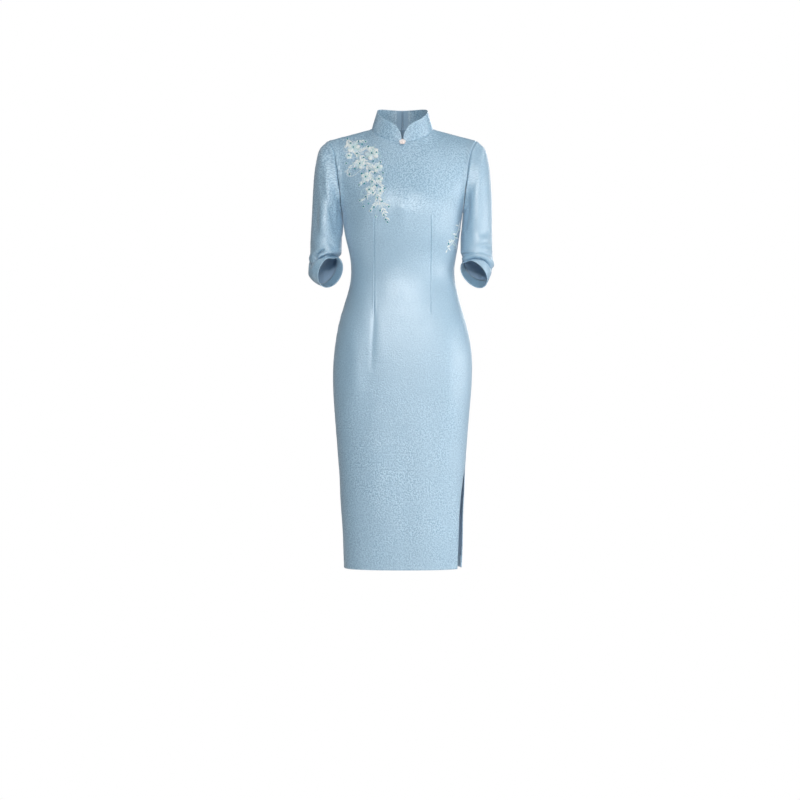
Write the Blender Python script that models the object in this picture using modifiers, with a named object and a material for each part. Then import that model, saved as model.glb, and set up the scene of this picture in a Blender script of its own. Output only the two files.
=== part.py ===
"""Short cheongsam with elbow sleeves, worn form, hollow.

Frame: +Z up, the front faces -Y, +X is the wearer's left.  The origin is the
middle of the neck at the foot of the stand collar, where the shoulders carry
the dress.  All tables are in millimetres; meshes are written in metres.

Every cloth piece is a grid lofted through sections and thickened with
Solidify: front (one piece), two back halves that meet at the centre-back zip,
two sleeves and two collar halves.  Pieces stop short of their shared seam
lines, so their walls stay a thread's width apart.
"""
import math

import bmesh
import bpy
import numpy as np
from mathutils import Matrix, Vector

MM = 0.001
NAME = "cheongsam_dress"

# ---------------------------------------------------------------- sizes (mm)
WALL = 1.2                 # cloth with its interlining
SEAM = 0.3                 # air left between two pieces at a seam
HEM_Z = -1008.0
UNDERARM_Z = -190.0
SLIT_TOP_Z = -770.0

NECK_HALF_WIDTH = 70.0     # foot of the collar
NECK_FRONT = 57.0
NECK_BACK = 52.0
NECK_Y = 5.0
NECK_DROP = 34.0           # centre front below the neck sides
NECK_RISE = 7.0            # centre back above them
NECK_SHARE = 0.45          # part of the top edge that is neckline

COLLAR_RISE = 41.0
COLLAR_TOP_HALF_WIDTH = 57.5
COLLAR_TOP_DEPTH = 46.0
COLLAR_CORNER = 36.0       # radius of the rounded front corners
COLLAR_SLIT = 4.8          # opening between the two halves

SHOULDER_TIP = (170.0, 8.0, -27.0)
ARM_FRONT = 50.0           # armhole half depth to the front
ARM_BACK = 53.0

# body sections: height, half widths, front and back depth, squareness
SECTIONS = ("z", "left", "right", "front", "back", "power")
BODY = (
    (-1008, 133.5, 135.5, 95, 98, 2.50),
    (-931, 137.5, 138.4, 97, 102, 2.46),
    (-851, 142.0, 140.6, 98, 106, 2.42),
    (-738, 148.6, 146.0, 100, 112, 2.38),
    (-657, 155.0, 152.4, 101, 116, 2.34),
    (-568, 159.2, 158.9, 101, 119, 2.30),
    (-522, 157.0, 158.4, 100, 118, 2.26),
    (-478, 151.3, 152.3, 98, 111, 2.22),
    (-435, 142.6, 141.6, 95, 99, 2.18),
    (-400, 131.6, 131.2, 92, 88, 2.15),
    (-352, 118.6, 120.4, 88, 79, 2.12),
    (-325, 117.0, 118.0, 88, 78, 2.12),
    (-294, 119.8, 123.0, 92, 83, 2.14),
    (-239, 132.8, 131.2, 108, 98, 2.20),
    (-190, 138.0, 138.0, 117, 106, 2.26),
)

# armhole seam: height and half width
ARMHOLE = ((-190, 138.0), (-154, 142.5), (-124, 147.0), (-80, 152.5),
           (-50, 159.0), (-27, 170.0))

# sleeve sections, drawn for the -X side: centre, tilt of the cap sections,
# elbow bend, half width across and half depth, then how far the +X sleeve
# lies nearer the body
SLEEVE_COLUMNS = ("x", "y", "z", "lean", "bend", "across", "deep", "closer")
SLEEVE = (
    (-164.8, 4, -120.0, 71.2, 0, 78.2, 52, 0.3),
    (-169.3, 4, -139.5, 63.4, 0, 66.5, 53, 0.9),
    (-171.5, 4, -160.5, 54.9, 0, 55.6, 53, 1.6),
    (-172.9, 4, -183.0, 44.7, 0, 47.0, 53, 2.4),
    (-173.7, 3, -211.0, 31.5, 0, 40.1, 52, 3.6),
    (-174.6, 2, -239.0, 17.4, 0, 36.7, 51, 5.0),
    (-175.7, 2, -266.0, 6.4, 0, 35.8, 50, 5.6),
    (-176.5, 1, -288.0, -2.0, 4, 35.6, 49, 6.0),
    (-181.8, -3, -304.0, 0, 23, 36.5, 48, 8.0),
    (-183.2, -10, -316.5, 0, 38, 37.2, 45, 12.5),
    (-176.6, -21, -325.2, 0, 53, 37.4, 42, 16.5),
    (-165.2, -31, -330.4, 0, 66, 37.3, 40, 14.0),
)
# the +X sleeve ends higher up the bend: its last sections take the place of
# the last ones above
SLEEVE_END = (
    (-179.5, -8, -315.0, 0, 34, 36.8, 46, 8.5),
    (-176.5, -15, -325.0, 0, 44, 37.2, 43, 8.5),
    (-172.0, -22, -335.0, 0, 53, 37.3, 40, 8.0),
)
FOREARM = (0.72, -0.69)    # the way the lower arm leaves the elbow, in plan

# soft shaping of the panels: darts as troughs, the fullness they make
FOLD_COLUMNS = ("side", "x0", "z0", "x1", "z1", "reach", "height")
FRONT_FOLDS = (
    ("fullness_left", -76, -196, -78, -212, 40, 5.0),
    ("fullness_right", 76, -196, 78, -212, 40, 5.0),
    ("waist_dart_left", -66, -215, -63, -440, 9, -2.2),
    ("waist_dart_right", 66, -215, 63, -440, 9, -2.2),
    ("side_dart_left", -128, -228, -100, -172, 9, -1.6),
    ("side_dart_right", 128, -228, 100, -172, 9, -1.6),
    ("skirt_drag_left", -96, -380, -112, -620, 22, 2.6),
    ("skirt_drag_right", 90, -400, 112, -640, 24, 2.2),
)
BACK_FOLDS = (
    ("waist_dart_left", -62, -205, -60, -440, 9, -2.2),
    ("waist_dart_right", 62, -205, 60, -440, 9, -2.2),
    ("seat_left", -68, -560, -68, -600, 52, 5.0),
    ("seat_right", 68, -560, 68, -600, 52, 5.0),
)
SLEEVE_FOLDS = (           # around the sleeve (degrees from outside), height
    ("front_drape", 62, -70, 96, -200, 16, 3.0),
    ("front_hollow", 104, -110, 128, -240, 14, -3.0),
    ("back_drape", 292, -80, 262, -210, 18, 2.6),
    ("elbow_roll", 60, -262, 120, -276, 20, 2.6),
)


# ------------------------------------------------------------ curve helpers
def spline(xs, ys, x):
    """Cubic through a table, with slopes taken from the neighbours."""
    xs, ys = np.asarray(xs, float), np.asarray(ys, float)
    x = np.clip(np.asarray(x, float), xs[0], xs[-1])
    slope = np.gradient(ys, xs)
    i = np.clip(np.searchsorted(xs, x) - 1, 0, len(xs) - 2)
    h = xs[i + 1] - xs[i]
    t = (x - xs[i]) / h
    return ((2 * t**3 - 3 * t**2 + 1) * ys[i] + (t**3 - 2 * t**2 + t) * h * slope[i]
            + (-2 * t**3 + 3 * t**2) * ys[i + 1] + (t**3 - t**2) * h * slope[i + 1])


def smooth(t):
    t = np.clip(t, 0.0, 1.0)
    return t * t * (3 - 2 * t)


def at_fractions(points, fractions):
    """Points at given shares of a polyline's length."""
    points = np.asarray(points, float)
    run = np.concatenate([[0], np.cumsum(np.linalg.norm(np.diff(points, axis=0), axis=1))])
    goal = np.asarray(fractions) * run[-1]
    return np.stack([np.interp(goal, run, points[:, k]) for k in range(3)], axis=1)


def body_size(z, column):
    k = SECTIONS.index(column)
    return float(spline([r[0] for r in BODY], [r[k] for r in BODY], z))


def body_quarter(z, side, face):
    """From the centre line round to the side seam, at one height."""
    a = body_size(z, "left" if side < 0 else "right")
    b = body_size(z, "front" if face < 0 else "back")
    e = 2.0 / body_size(z, "power")
    t = np.linspace(0, math.pi / 2, 240) ** 1.0
    x = side * a * np.sin(t) ** e
    y = face * b * np.cos(t) ** e
    x[0], y[-1] = 0.0, 0.0
    return np.stack([x, y, np.full_like(x, z)], axis=1)


def neck_point(angle, side):
    """Foot of the collar; 0 is centre front, pi is centre back."""
    s, c = math.sin(angle), math.cos(angle)
    depth = NECK_FRONT if c > 0 else NECK_BACK
    lift = (NECK_RISE - NECK_DROP) / 2
    return np.array([side * NECK_HALF_WIDTH * s, NECK_Y - depth * c,
                     -(NECK_RISE + NECK_DROP) / 2 * c + lift * c * c])


def shoulder_point(t, side):
    """Shoulder seam from the neck (0) to the sleeve head (1)."""
    a = neck_point(math.pi / 2, side)
    b = np.array([side * SHOULDER_TIP[0], SHOULDER_TIP[1], SHOULDER_TIP[2]])
    return a + (b - a) * t


def armhole_point(angle, side, face):
    """Sleeve seam; 0 is the underarm, pi the shoulder tip."""
    z0, z1 = ARMHOLE[0][0], SHOULDER_TIP[2]
    c, s = math.cos(angle), math.sin(angle)
    z = (z0 + z1) / 2 - (z1 - z0) / 2 * c
    x = float(spline([r[0] for r in ARMHOLE], [r[1] for r in ARMHOLE], z))
    y = SHOULDER_TIP[1] * (1 - c) / 2 + face * (ARM_FRONT if face < 0 else ARM_BACK) * s
    return np.array([side * x, y, z])


def centre_point(v, face):
    """Centre line of the chest or the shoulders, underarm level to neck."""
    end = neck_point(0.0 if face < 0 else math.pi, 1)
    start = face * body_size(UNDERARM_Z, "front" if face < 0 else "back")
    power = 1.7 if face < 0 else 2.3
    return np.array([0.0, start + (end[1] - start) * v ** power,
                     UNDERARM_Z + (end[2] - UNDERARM_Z) * v])


def top_edge(side, face, fractions):
    """Neckline, then shoulder seam, as one edge."""
    out = []
    for u in fractions:
        if u <= NECK_SHARE:
            angle = u / NECK_SHARE * math.pi / 2
            out.append(neck_point(angle if face < 0 else math.pi - angle, side))
        else:
            out.append(shoulder_point((u - NECK_SHARE) / (1 - NECK_SHARE), side))
    return np.array(out)


def yoke_row(v, side, face, fractions):
    """A row of the panel between the underarm (0) and the top edge (1)."""
    low = at_fractions(body_quarter(UNDERARM_Z, side, face), fractions)
    high = top_edge(side, face, fractions)
    inner, outer = centre_point(v, face), armhole_point(math.pi * v, side, face)
    u = np.asarray(fractions)[:, None]
    ruled = (1 - v) * low + v * high
    corners = ((1 - v) * ((1 - u) * centre_point(0, face) + u * armhole_point(0, side, face))
               + v * ((1 - u) * centre_point(1, face) + u * armhole_point(math.pi, side, face)))
    return ruled + (1 - u) * inner + u * outer - corners


def shape_panel(points, folds, face):
    """Darts and fullness, as soft troughs and ridges along short lines."""
    out = points.copy()
    for _, x0, z0, x1, z1, reach, height in folds:
        a, d = np.array([x0, z0]), np.array([x1 - x0, z1 - z0], float)
        p = points[..., [0, 2]] - a
        t = np.clip((p @ d) / (d @ d), 0, 1)
        away = np.linalg.norm(p - t[..., None] * d, axis=-1)
        edge = np.sin(np.clip(t, 0.12, 0.88) * math.pi) if height < 0 else 1.0
        out[..., 1] += face * height * edge * np.exp(-0.5 * (away / reach) ** 2)
    return out


def open_slit(points, fractions, side):
    """The front edge of the open slit swings in and forward of the back."""
    out = points.copy()
    drop = SLIT_TOP_Z - points[..., 2]
    inset, forward = (11.0, 24.0) if side > 0 else (0.6, 2.2)
    u = np.asarray(fractions)[None, :]
    edge = smooth((u - 0.62) / 0.38) * smooth(drop / 130.0) * (1 + 0.1 * smooth(drop / 240.0))
    out[..., 0] -= side * inset * edge
    out[..., 1] -= forward * edge
    return out


# ------------------------------------------------------------- mesh helpers
def new_collection(name):
    c = bpy.data.collections.new(name)
    bpy.context.scene.collection.children.link(c)
    return c


def material(name, colour, roughness, metallic=0.0):
    m = bpy.data.materials.new(name)
    m.use_nodes = True
    bsdf = m.node_tree.nodes["Principled BSDF"]
    bsdf.inputs["Base Color"].default_value = (*colour, 1.0)
    bsdf.inputs["Roughness"].default_value = roughness
    bsdf.inputs["Metallic"].default_value = metallic
    return m


def link(obj, mat):
    PARTS.objects.link(obj)
    obj.data.materials.append(mat)
    return obj


def cloth(name, grid, mat, wrap=False, flip=False):
    """Thicken a grid of points (rows of equal length) into one cloth wall."""
    rows, cols = grid.shape[:2]
    bm = bmesh.new()
    verts = [[bm.verts.new(Vector(p) * MM) for p in row] for row in grid]
    for i in range(rows - 1):
        for j in range(cols if wrap else cols - 1):
            k = (j + 1) % cols
            quad = [verts[i][j], verts[i][k], verts[i + 1][k], verts[i + 1][j]]
            bm.faces.new(quad[::-1] if flip else quad)
    mesh = bpy.data.meshes.new(name)
    bm.to_mesh(mesh)
    bm.free()
    mesh.shade_smooth()
    obj = link(bpy.data.objects.new(name, mesh), mat)
    wall = obj.modifiers.new("wall", "SOLIDIFY")
    wall.thickness = WALL * MM
    wall.offset = 0.0
    wall.use_even_offset = True
    return obj


# ------------------------------------------------------------------- pieces
HALF = [0, .1, .2, .3, .4, .5, .6, .7, .8, .9, .982, 1 - 0.0012]
YOKE = [.1, .2, .31, .42, .54, .66, .78, .89, .975, 1 - 0.0035]
SKIRT_Z = np.concatenate([np.linspace(HEM_Z, -480, 13), np.linspace(-480, UNDERARM_Z, 10)[1:]])


def panel_half(side, face, fractions):
    rows = [at_fractions(body_quarter(z, side, face), fractions) for z in SKIRT_Z]
    rows += [yoke_row(v, side, face, fractions) for v in YOKE]
    grid = np.array(rows)
    top = len(grid) - 1
    # ease the corner that the neck side would print on the rows below it
    for _ in range(6):
        calm = grid.copy()
        calm[len(SKIRT_Z) - 2:top - 1, 1:-2] = (
            grid[len(SKIRT_Z) - 2:top - 1, :-3] + grid[len(SKIRT_Z) - 2:top - 1, 2:-1]
            + grid[len(SKIRT_Z) - 3:top - 2, 1:-2] + grid[len(SKIRT_Z) - 1:top, 1:-2]) / 4
        calm[:, 0] = grid[:, 0]
        grid = 0.5 * grid + 0.5 * calm
    return grid


def make_front(mat):
    halves = []
    for side in (-1, 1):
        grid = panel_half(side, -1, HALF)
        halves.append(open_slit(grid, HALF, side))
    grid = np.concatenate([halves[0][:, ::-1], halves[1][:, 1:]], axis=1)
    return cloth("front_panel", shape_panel(grid, FRONT_FOLDS, -1), mat)


def make_back(name, side, mat):
    fractions = [0.0010, 0.018] + HALF[1:]
    grid = shape_panel(panel_half(side, 1, fractions), BACK_FOLDS, 1)
    grid[:, 0, 0] = side * SEAM / 2
    return cloth(name, grid, mat, flip=side > 0)


def collar_height(run):
    """Height of the collar edge, by distance from its front edge."""
    full = COLLAR_RISE + 2.0
    r = COLLAR_CORNER
    return full - r + math.sqrt(max(r * r - max(r - run, 0) ** 2, 0)) if run < r else full


def make_collar(name, side, mat):
    first = math.asin(COLLAR_SLIT / 2 / NECK_HALF_WIDTH)
    last = math.pi - math.asin(SEAM * 0.6 / NECK_HALF_WIDTH)
    steps = np.concatenate([[0, .012, .035, .07, .12, .18, .25], np.linspace(.33, .985, 9), [1]])
    grid = []
    foot = [neck_point(first + (last - first) * t, side) for t in steps]
    run = np.concatenate([[0], np.cumsum([np.linalg.norm(b - a) for a, b in zip(foot, foot[1:])])])
    full = COLLAR_RISE + 2.0
    for t, base, s in zip(steps, foot, run):
        angle = first + (last - first) * t
        top = np.array([side * COLLAR_TOP_HALF_WIDTH * math.sin(angle),
                        NECK_Y - 1 - COLLAR_TOP_DEPTH * math.cos(angle),
                        base[2] + COLLAR_RISE])
        if t == 1:
            top[0] = base[0] = side * SEAM * 0.6
        share = collar_height(s) / full
        grid.append([base + (top - base) * (1.1 / full + (share - 1.1 / full) * k)
                     for k in (0, .08, .36, .68, 1)])
    grid = np.array(grid)
    return cloth(name, grid, mat, flip=side < 0)


def sleeve_grid(side, around=16):
    """Rings from the armhole to the cuff; angle 0 is outside, 90 deg front."""
    angles = np.arange(around) * 2 * math.pi / around
    rings = []
    ring = []
    for t in angles:
        face = -1 if math.sin(t) >= 0 else 1
        p = armhole_point(math.pi - (t if t <= math.pi else 2 * math.pi - t), side, face)
        p[0] += side * (1.15 + 0.55 * smooth(-math.cos(t)))
        p[2] -= 0.25 * max(math.cos(t), 0)
        ring.append(p)
    rings.append(ring)
    hx, hy = FOREARM
    axis = Vector((hy, -hx, 0)).normalized()
    sections = SLEEVE if side < 0 else SLEEVE[:-len(SLEEVE_END)] + SLEEVE_END
    for x, y, z, lean, bend, across, deep, closer in sections:
        lean = math.radians(lean)
        turn = Matrix.Rotation(math.radians(bend), 3, axis)
        e1 = turn @ Vector((-math.cos(lean), 0, math.sin(lean)))
        e2 = turn @ Vector((0, -1, 0))
        ring = []
        for t in angles:
            p = Vector((x, y, z)) + e1 * across * math.cos(t) + e2 * deep * math.sin(t)
            ring.append([p.x if side < 0 else -p.x - closer, p.y, p.z])
        rings.append(ring)
    grid = np.array(rings, float)
    deg = np.degrees(angles)[None, :] * np.ones((len(rings), 1))
    centre = grid.mean(axis=1, keepdims=True)
    out = grid - centre
    out /= np.linalg.norm(out, axis=-1, keepdims=True)
    push = np.zeros(grid.shape[:2])
    for _, a0, z0, a1, z1, reach, height in SLEEVE_FOLDS:
        zc = centre[..., 2] * np.ones_like(deg)
        zc = grid[..., 2]
        t = np.clip((zc - z0) / (z1 - z0), 0, 1)
        gap = np.abs((deg - (a0 + (a1 - a0) * t) + 180) % 360 - 180)
        fade = smooth((zc - min(z0, z1) + 30) / 30) * smooth((max(z0, z1) + 30 - zc) / 30)
        push += height * fade * np.exp(-0.5 * (gap / reach) ** 2)
    push[0] = 0
    push[1] *= 0.5
    return grid + out * push[..., None]


def make_sleeve(name, side, mat):
    return cloth(name, sleeve_grid(side), mat, wrap=True, flip=side > 0)


# the button: five round petals and a bead, pressed flat
FLOWER_AT = (0.0, -58.6, -36.0)
FLOWER_TILT = 30.0
PETAL = 3.3
PETAL_RING = 4.5
PETAL_THICK = 1.5
BEAD = 2.1


def make_flower(mat):
    tools = []
    tilt = Matrix.Rotation(math.radians(90 - FLOWER_TILT), 3, "X")

    def ball(x, y, z, rx, ry, rz, spin=0.0):
        bm = bmesh.new()
        bmesh.ops.create_uvsphere(bm, u_segments=10, v_segments=7, radius=1.0)
        bmesh.ops.transform(bm, verts=bm.verts,
                            matrix=(Matrix.Rotation(spin, 4, "Z")
                                    @ Matrix.Diagonal((rx * MM, ry * MM, rz * MM, 1))))
        bmesh.ops.translate(bm, verts=bm.verts, vec=Vector((x, y, z)) * MM)
        bmesh.ops.rotate(bm, verts=bm.verts, cent=(0, 0, 0), matrix=tilt)
        bmesh.ops.translate(bm, verts=bm.verts, vec=Vector(FLOWER_AT) * MM)
        mesh = bpy.data.meshes.new("flower_tool")
        bm.to_mesh(mesh)
        bm.free()
        return mesh

    flower = link(bpy.data.objects.new("flower_button", ball(0, 0, 0.6, BEAD, BEAD, BEAD)), mat)
    for k in range(5):
        a = math.radians(90 + 72 * k)
        petal = bpy.data.objects.new("petal_tool", ball(
            PETAL_RING * math.cos(a), PETAL_RING * math.sin(a), 0,
            PETAL + 0.2, PETAL, PETAL_THICK, a))
        TOOLS.objects.link(petal)
        petal.hide_render = True
        petal.display_type = "WIRE"
        tools.append(petal)
        join = flower.modifiers.new("petal", "BOOLEAN")
        join.operation = "UNION"
        join.object = petal
    flower.data.shade_smooth()
    return flower


# the zip: a slider at the top of the centre back and its hinged pull tab
SLIDER = dict(width=6.0, length=10.0, thick=1.6)
LUG = dict(width=1.0, reach=3.4, tall=3.2, inside=2.6)
PIN_RADIUS = 0.55
TAB = dict(width=4.4, length=19.0, thick=1.0)
ZIP_LEAN = math.atan2(NECK_BACK - COLLAR_TOP_DEPTH + 1, COLLAR_RISE)


def zip_frame():
    """Centre of the slider on the outside of the collar, near its top."""
    foot, share = neck_point(math.pi, 1), 0.80
    top = np.array([0, NECK_Y - 1 + COLLAR_TOP_DEPTH, foot[2] + COLLAR_RISE])
    p = foot + (top - foot) * share
    turn = Matrix.Rotation(ZIP_LEAN, 4, "X")
    normal = turn @ Vector((0, 1, 0))
    centre = Vector(p) + normal * (WALL / 2 + SEAM + SLIDER["thick"] / 2 + 0.25)
    return Matrix.Translation(centre * MM) @ turn


def box(name, size, at, group):
    bpy.ops.mesh.primitive_cube_add(size=1)
    obj = bpy.context.object
    obj.name = name
    for c in list(obj.users_collection):
        c.objects.unlink(obj)
    group.objects.link(obj)
    obj.data.transform(Matrix.Translation(Vector(at) * MM)
                       @ Matrix.Diagonal((size[0] * MM, size[1] * MM, size[2] * MM, 1)))
    return obj


def rod(name, radius, length, at, group, axis="X", sides=12):
    bm = bmesh.new()
    bmesh.ops.create_cone(bm, cap_ends=True, segments=sides, radius1=radius * MM,
                          radius2=radius * MM, depth=length * MM)
    turn = Matrix.Rotation(math.pi / 2, 3, "Y" if axis == "X" else "X")
    bmesh.ops.rotate(bm, verts=bm.verts, cent=(0, 0, 0), matrix=turn)
    bmesh.ops.translate(bm, verts=bm.verts, vec=Vector(at) * MM)
    mesh = bpy.data.meshes.new(name)
    bm.to_mesh(mesh)
    bm.free()
    obj = bpy.data.objects.new(name, mesh)
    group.objects.link(obj)
    return obj


def combine(target, others, operation, frame):
    for o in others:
        o.hide_render = True
        o.display_type = "WIRE"
        o.matrix_world = frame
        m = target.modifiers.new(operation.lower(), "BOOLEAN")
        m.operation = operation
        m.object = o
    target.matrix_world = frame
    return target


def make_zip(metal):
    frame = zip_frame()
    w, l, t = SLIDER["width"], SLIDER["length"], SLIDER["thick"]
    pin_y = t / 2 + 2.0
    plate = box("zip_slider", (w, t, l), (0, 0, 0), PARTS)
    lugs = []
    for s in (-1, 1):
        x = s * (LUG["inside"] / 2 + LUG["width"] / 2)
        lugs.append(box("lug_tool", (LUG["width"], LUG["tall"], LUG["reach"]),
                        (x, t / 2 + LUG["tall"] / 2 - 0.2, 2.0), TOOLS))
    pin = rod("pin_tool", PIN_RADIUS, LUG["inside"] + 1.2, (0, pin_y, 2.0), TOOLS)
    combine(plate, lugs + [pin], "UNION", frame)
    plate.data.materials.append(metal)

    # the tab hangs from the pin: an eye, a neck and a rounded paddle
    tw, tl, tt = TAB["width"], TAB["length"], TAB["thick"]
    eye = rod("zip_tab", 1.55, LUG["inside"] - 2 * SEAM, (0, pin_y, 2.0), PARTS, sides=16)
    neck = box("neck_tool", (LUG["inside"] - 2 * SEAM, tt, 7.0), (0, pin_y, 2.0 - 4.3), TOOLS)
    paddle = box("paddle_tool", (tw, tt, tl - 9), (0, pin_y, 2.0 - 7 - (tl - 9) / 2), TOOLS)
    end = rod("end_tool", tw / 2, tt, (0, pin_y, 2.0 - 7 - (tl - 9)), TOOLS, axis="Y", sides=20)
    hole = rod("hole_tool", PIN_RADIUS + SEAM, LUG["inside"] + 2, (0, pin_y, 2.0), TOOLS)
    combine(eye, [neck, paddle, end], "UNION", frame)
    combine(eye, [hole], "DIFFERENCE", frame)
    eye.data.materials.append(metal)
    return plate, eye


# ---------------------------------------------------------------- the model
for old in list(bpy.data.objects):
    bpy.data.objects.remove(old, do_unlink=True)

PARTS = new_collection(NAME)
TOOLS = new_collection("cutters")

SATIN = {n: material("satin_" + n, c, 0.42) for n, c in (
    ("front", (0.40, 0.56, 0.70)), ("back", (0.39, 0.55, 0.69)),
    ("sleeve", (0.41, 0.57, 0.71)), ("collar", (0.38, 0.53, 0.67)))}
PEARL = material("pearl", (0.86, 0.80, 0.76), 0.22)
METAL = material("zip_enamel", (0.42, 0.56, 0.68), 0.35, 0.6)

make_front(SATIN["front"])
make_back("back_panel_left", -1, SATIN["back"])
make_back("back_panel_right", 1, SATIN["back"])
make_collar("collar_left", -1, SATIN["collar"])
make_collar("collar_right", 1, SATIN["collar"])
make_sleeve("sleeve_left", -1, SATIN["sleeve"])
make_sleeve("sleeve_right", 1, SATIN["sleeve"])
make_flower(PEARL)
make_zip(METAL)
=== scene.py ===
"""Looks of a short pale blue satin cheongsam, in its worn, hollow form."""
import math
import random

import bmesh
import bpy
import numpy as np
from mathutils import Matrix, Vector, noise
from mathutils.bvhtree import BVHTree


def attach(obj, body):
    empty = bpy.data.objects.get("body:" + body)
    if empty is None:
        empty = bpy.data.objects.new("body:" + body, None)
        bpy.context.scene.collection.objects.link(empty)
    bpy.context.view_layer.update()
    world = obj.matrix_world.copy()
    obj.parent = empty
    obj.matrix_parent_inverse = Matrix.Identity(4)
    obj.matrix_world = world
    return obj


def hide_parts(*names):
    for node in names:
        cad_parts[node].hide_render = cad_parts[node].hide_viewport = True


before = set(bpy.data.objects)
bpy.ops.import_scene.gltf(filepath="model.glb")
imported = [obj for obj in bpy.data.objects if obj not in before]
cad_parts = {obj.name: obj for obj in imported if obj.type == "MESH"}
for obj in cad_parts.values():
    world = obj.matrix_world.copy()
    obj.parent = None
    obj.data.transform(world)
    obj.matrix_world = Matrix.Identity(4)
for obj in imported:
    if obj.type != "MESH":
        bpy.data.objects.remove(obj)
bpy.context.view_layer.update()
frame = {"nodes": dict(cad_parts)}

MM = 0.001

# ------------------------------------------- the form, as in the model (mm)
WALL = 1.2                 # cloth with its interlining
SEAM = 0.3                 # air left between two pieces at a seam
HEM_Z = -1008.0
UNDERARM_Z = -190.0
SLIT_TOP_Z = -770.0

NECK_HALF_WIDTH = 70.0     # foot of the collar
NECK_FRONT = 57.0
NECK_BACK = 52.0
NECK_Y = 5.0
NECK_DROP = 34.0           # centre front below the neck sides
NECK_RISE = 7.0            # centre back above them
NECK_SHARE = 0.45          # part of the top edge that is neckline

COLLAR_RISE = 41.0
COLLAR_TOP_HALF_WIDTH = 57.5
COLLAR_TOP_DEPTH = 46.0
COLLAR_CORNER = 36.0       # radius of the rounded front corners
COLLAR_SLIT = 4.8          # opening between the two halves

SHOULDER_TIP = (170.0, 8.0, -27.0)
ARM_FRONT = 50.0           # armhole half depth to the front
ARM_BACK = 53.0

# body sections: height, half widths, front and back depth, squareness
SECTIONS = ("z", "left", "right", "front", "back", "power")
BODY = (
    (-1008, 133.5, 135.5, 95, 98, 2.50),
    (-931, 137.5, 138.4, 97, 102, 2.46),
    (-851, 142.0, 140.6, 98, 106, 2.42),
    (-738, 148.6, 146.0, 100, 112, 2.38),
    (-657, 155.0, 152.4, 101, 116, 2.34),
    (-568, 159.2, 158.9, 101, 119, 2.30),
    (-522, 157.0, 158.4, 100, 118, 2.26),
    (-478, 151.3, 152.3, 98, 111, 2.22),
    (-435, 142.6, 141.6, 95, 99, 2.18),
    (-400, 131.6, 131.2, 92, 88, 2.15),
    (-352, 118.6, 120.4, 88, 79, 2.12),
    (-325, 117.0, 118.0, 88, 78, 2.12),
    (-294, 119.8, 123.0, 92, 83, 2.14),
    (-239, 132.8, 131.2, 108, 98, 2.20),
    (-190, 138.0, 138.0, 117, 106, 2.26),
)

# armhole seam: height and half width
ARMHOLE = ((-190, 138.0), (-154, 142.5), (-124, 147.0), (-80, 152.5),
           (-50, 159.0), (-27, 170.0))

# sleeve sections, drawn for the -X side: centre, tilt of the cap sections,
# elbow bend, half width across and half depth, then how far the +X sleeve
# lies nearer the body
SLEEVE_COLUMNS = ("x", "y", "z", "lean", "bend", "across", "deep", "closer")
SLEEVE = (
    (-164.8, 4, -120.0, 71.2, 0, 78.2, 52, 0.3),
    (-169.3, 4, -139.5, 63.4, 0, 66.5, 53, 0.9),
    (-171.5, 4, -160.5, 54.9, 0, 55.6, 53, 1.6),
    (-172.9, 4, -183.0, 44.7, 0, 47.0, 53, 2.4),
    (-173.7, 3, -211.0, 31.5, 0, 40.1, 52, 3.6),
    (-174.6, 2, -239.0, 17.4, 0, 36.7, 51, 5.0),
    (-175.7, 2, -266.0, 6.4, 0, 35.8, 50, 5.6),
    (-176.5, 1, -288.0, -2.0, 4, 35.6, 49, 6.0),
    (-181.8, -3, -304.0, 0, 23, 36.5, 48, 8.0),
    (-183.2, -10, -316.5, 0, 38, 37.2, 45, 12.5),
    (-176.6, -21, -325.2, 0, 53, 37.4, 42, 16.5),
    (-165.2, -31, -330.4, 0, 66, 37.3, 40, 14.0),
)
# the +X sleeve ends higher up the bend: its last sections take the place of
# the last ones above
SLEEVE_END = (
    (-179.5, -8, -315.0, 0, 34, 36.8, 46, 8.5),
    (-176.5, -15, -325.0, 0, 44, 37.2, 43, 8.5),
    (-172.0, -22, -335.0, 0, 53, 37.3, 40, 8.0),
)
FOREARM = (0.72, -0.69)    # the way the lower arm leaves the elbow, in plan

# soft shaping of the panels: darts as troughs, the fullness they make
FOLD_COLUMNS = ("side", "x0", "z0", "x1", "z1", "reach", "height")
FRONT_FOLDS = (
    ("fullness_left", -76, -196, -78, -212, 40, 5.0),
    ("fullness_right", 76, -196, 78, -212, 40, 5.0),
    ("waist_dart_left", -66, -215, -63, -440, 9, -2.2),
    ("waist_dart_right", 66, -215, 63, -440, 9, -2.2),
    ("side_dart_left", -128, -228, -100, -172, 9, -1.6),
    ("side_dart_right", 128, -228, 100, -172, 9, -1.6),
    ("skirt_drag_left", -96, -380, -112, -620, 22, 2.6),
    ("skirt_drag_right", 90, -400, 112, -640, 24, 2.2),
)
BACK_FOLDS = (
    ("waist_dart_left", -62, -205, -60, -440, 9, -2.2),
    ("waist_dart_right", 62, -205, 60, -440, 9, -2.2),
    ("seat_left", -68, -560, -68, -600, 52, 5.0),
    ("seat_right", 68, -560, 68, -600, 52, 5.0),
)
SLEEVE_FOLDS = (           # around the sleeve (degrees from outside), height
    ("front_drape", 62, -70, 96, -200, 16, 3.0),
    ("front_hollow", 104, -110, 128, -240, 14, -3.0),
    ("back_drape", 292, -80, 262, -210, 18, 2.6),
    ("elbow_roll", 60, -262, 120, -276, 20, 2.6),
)


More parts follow.
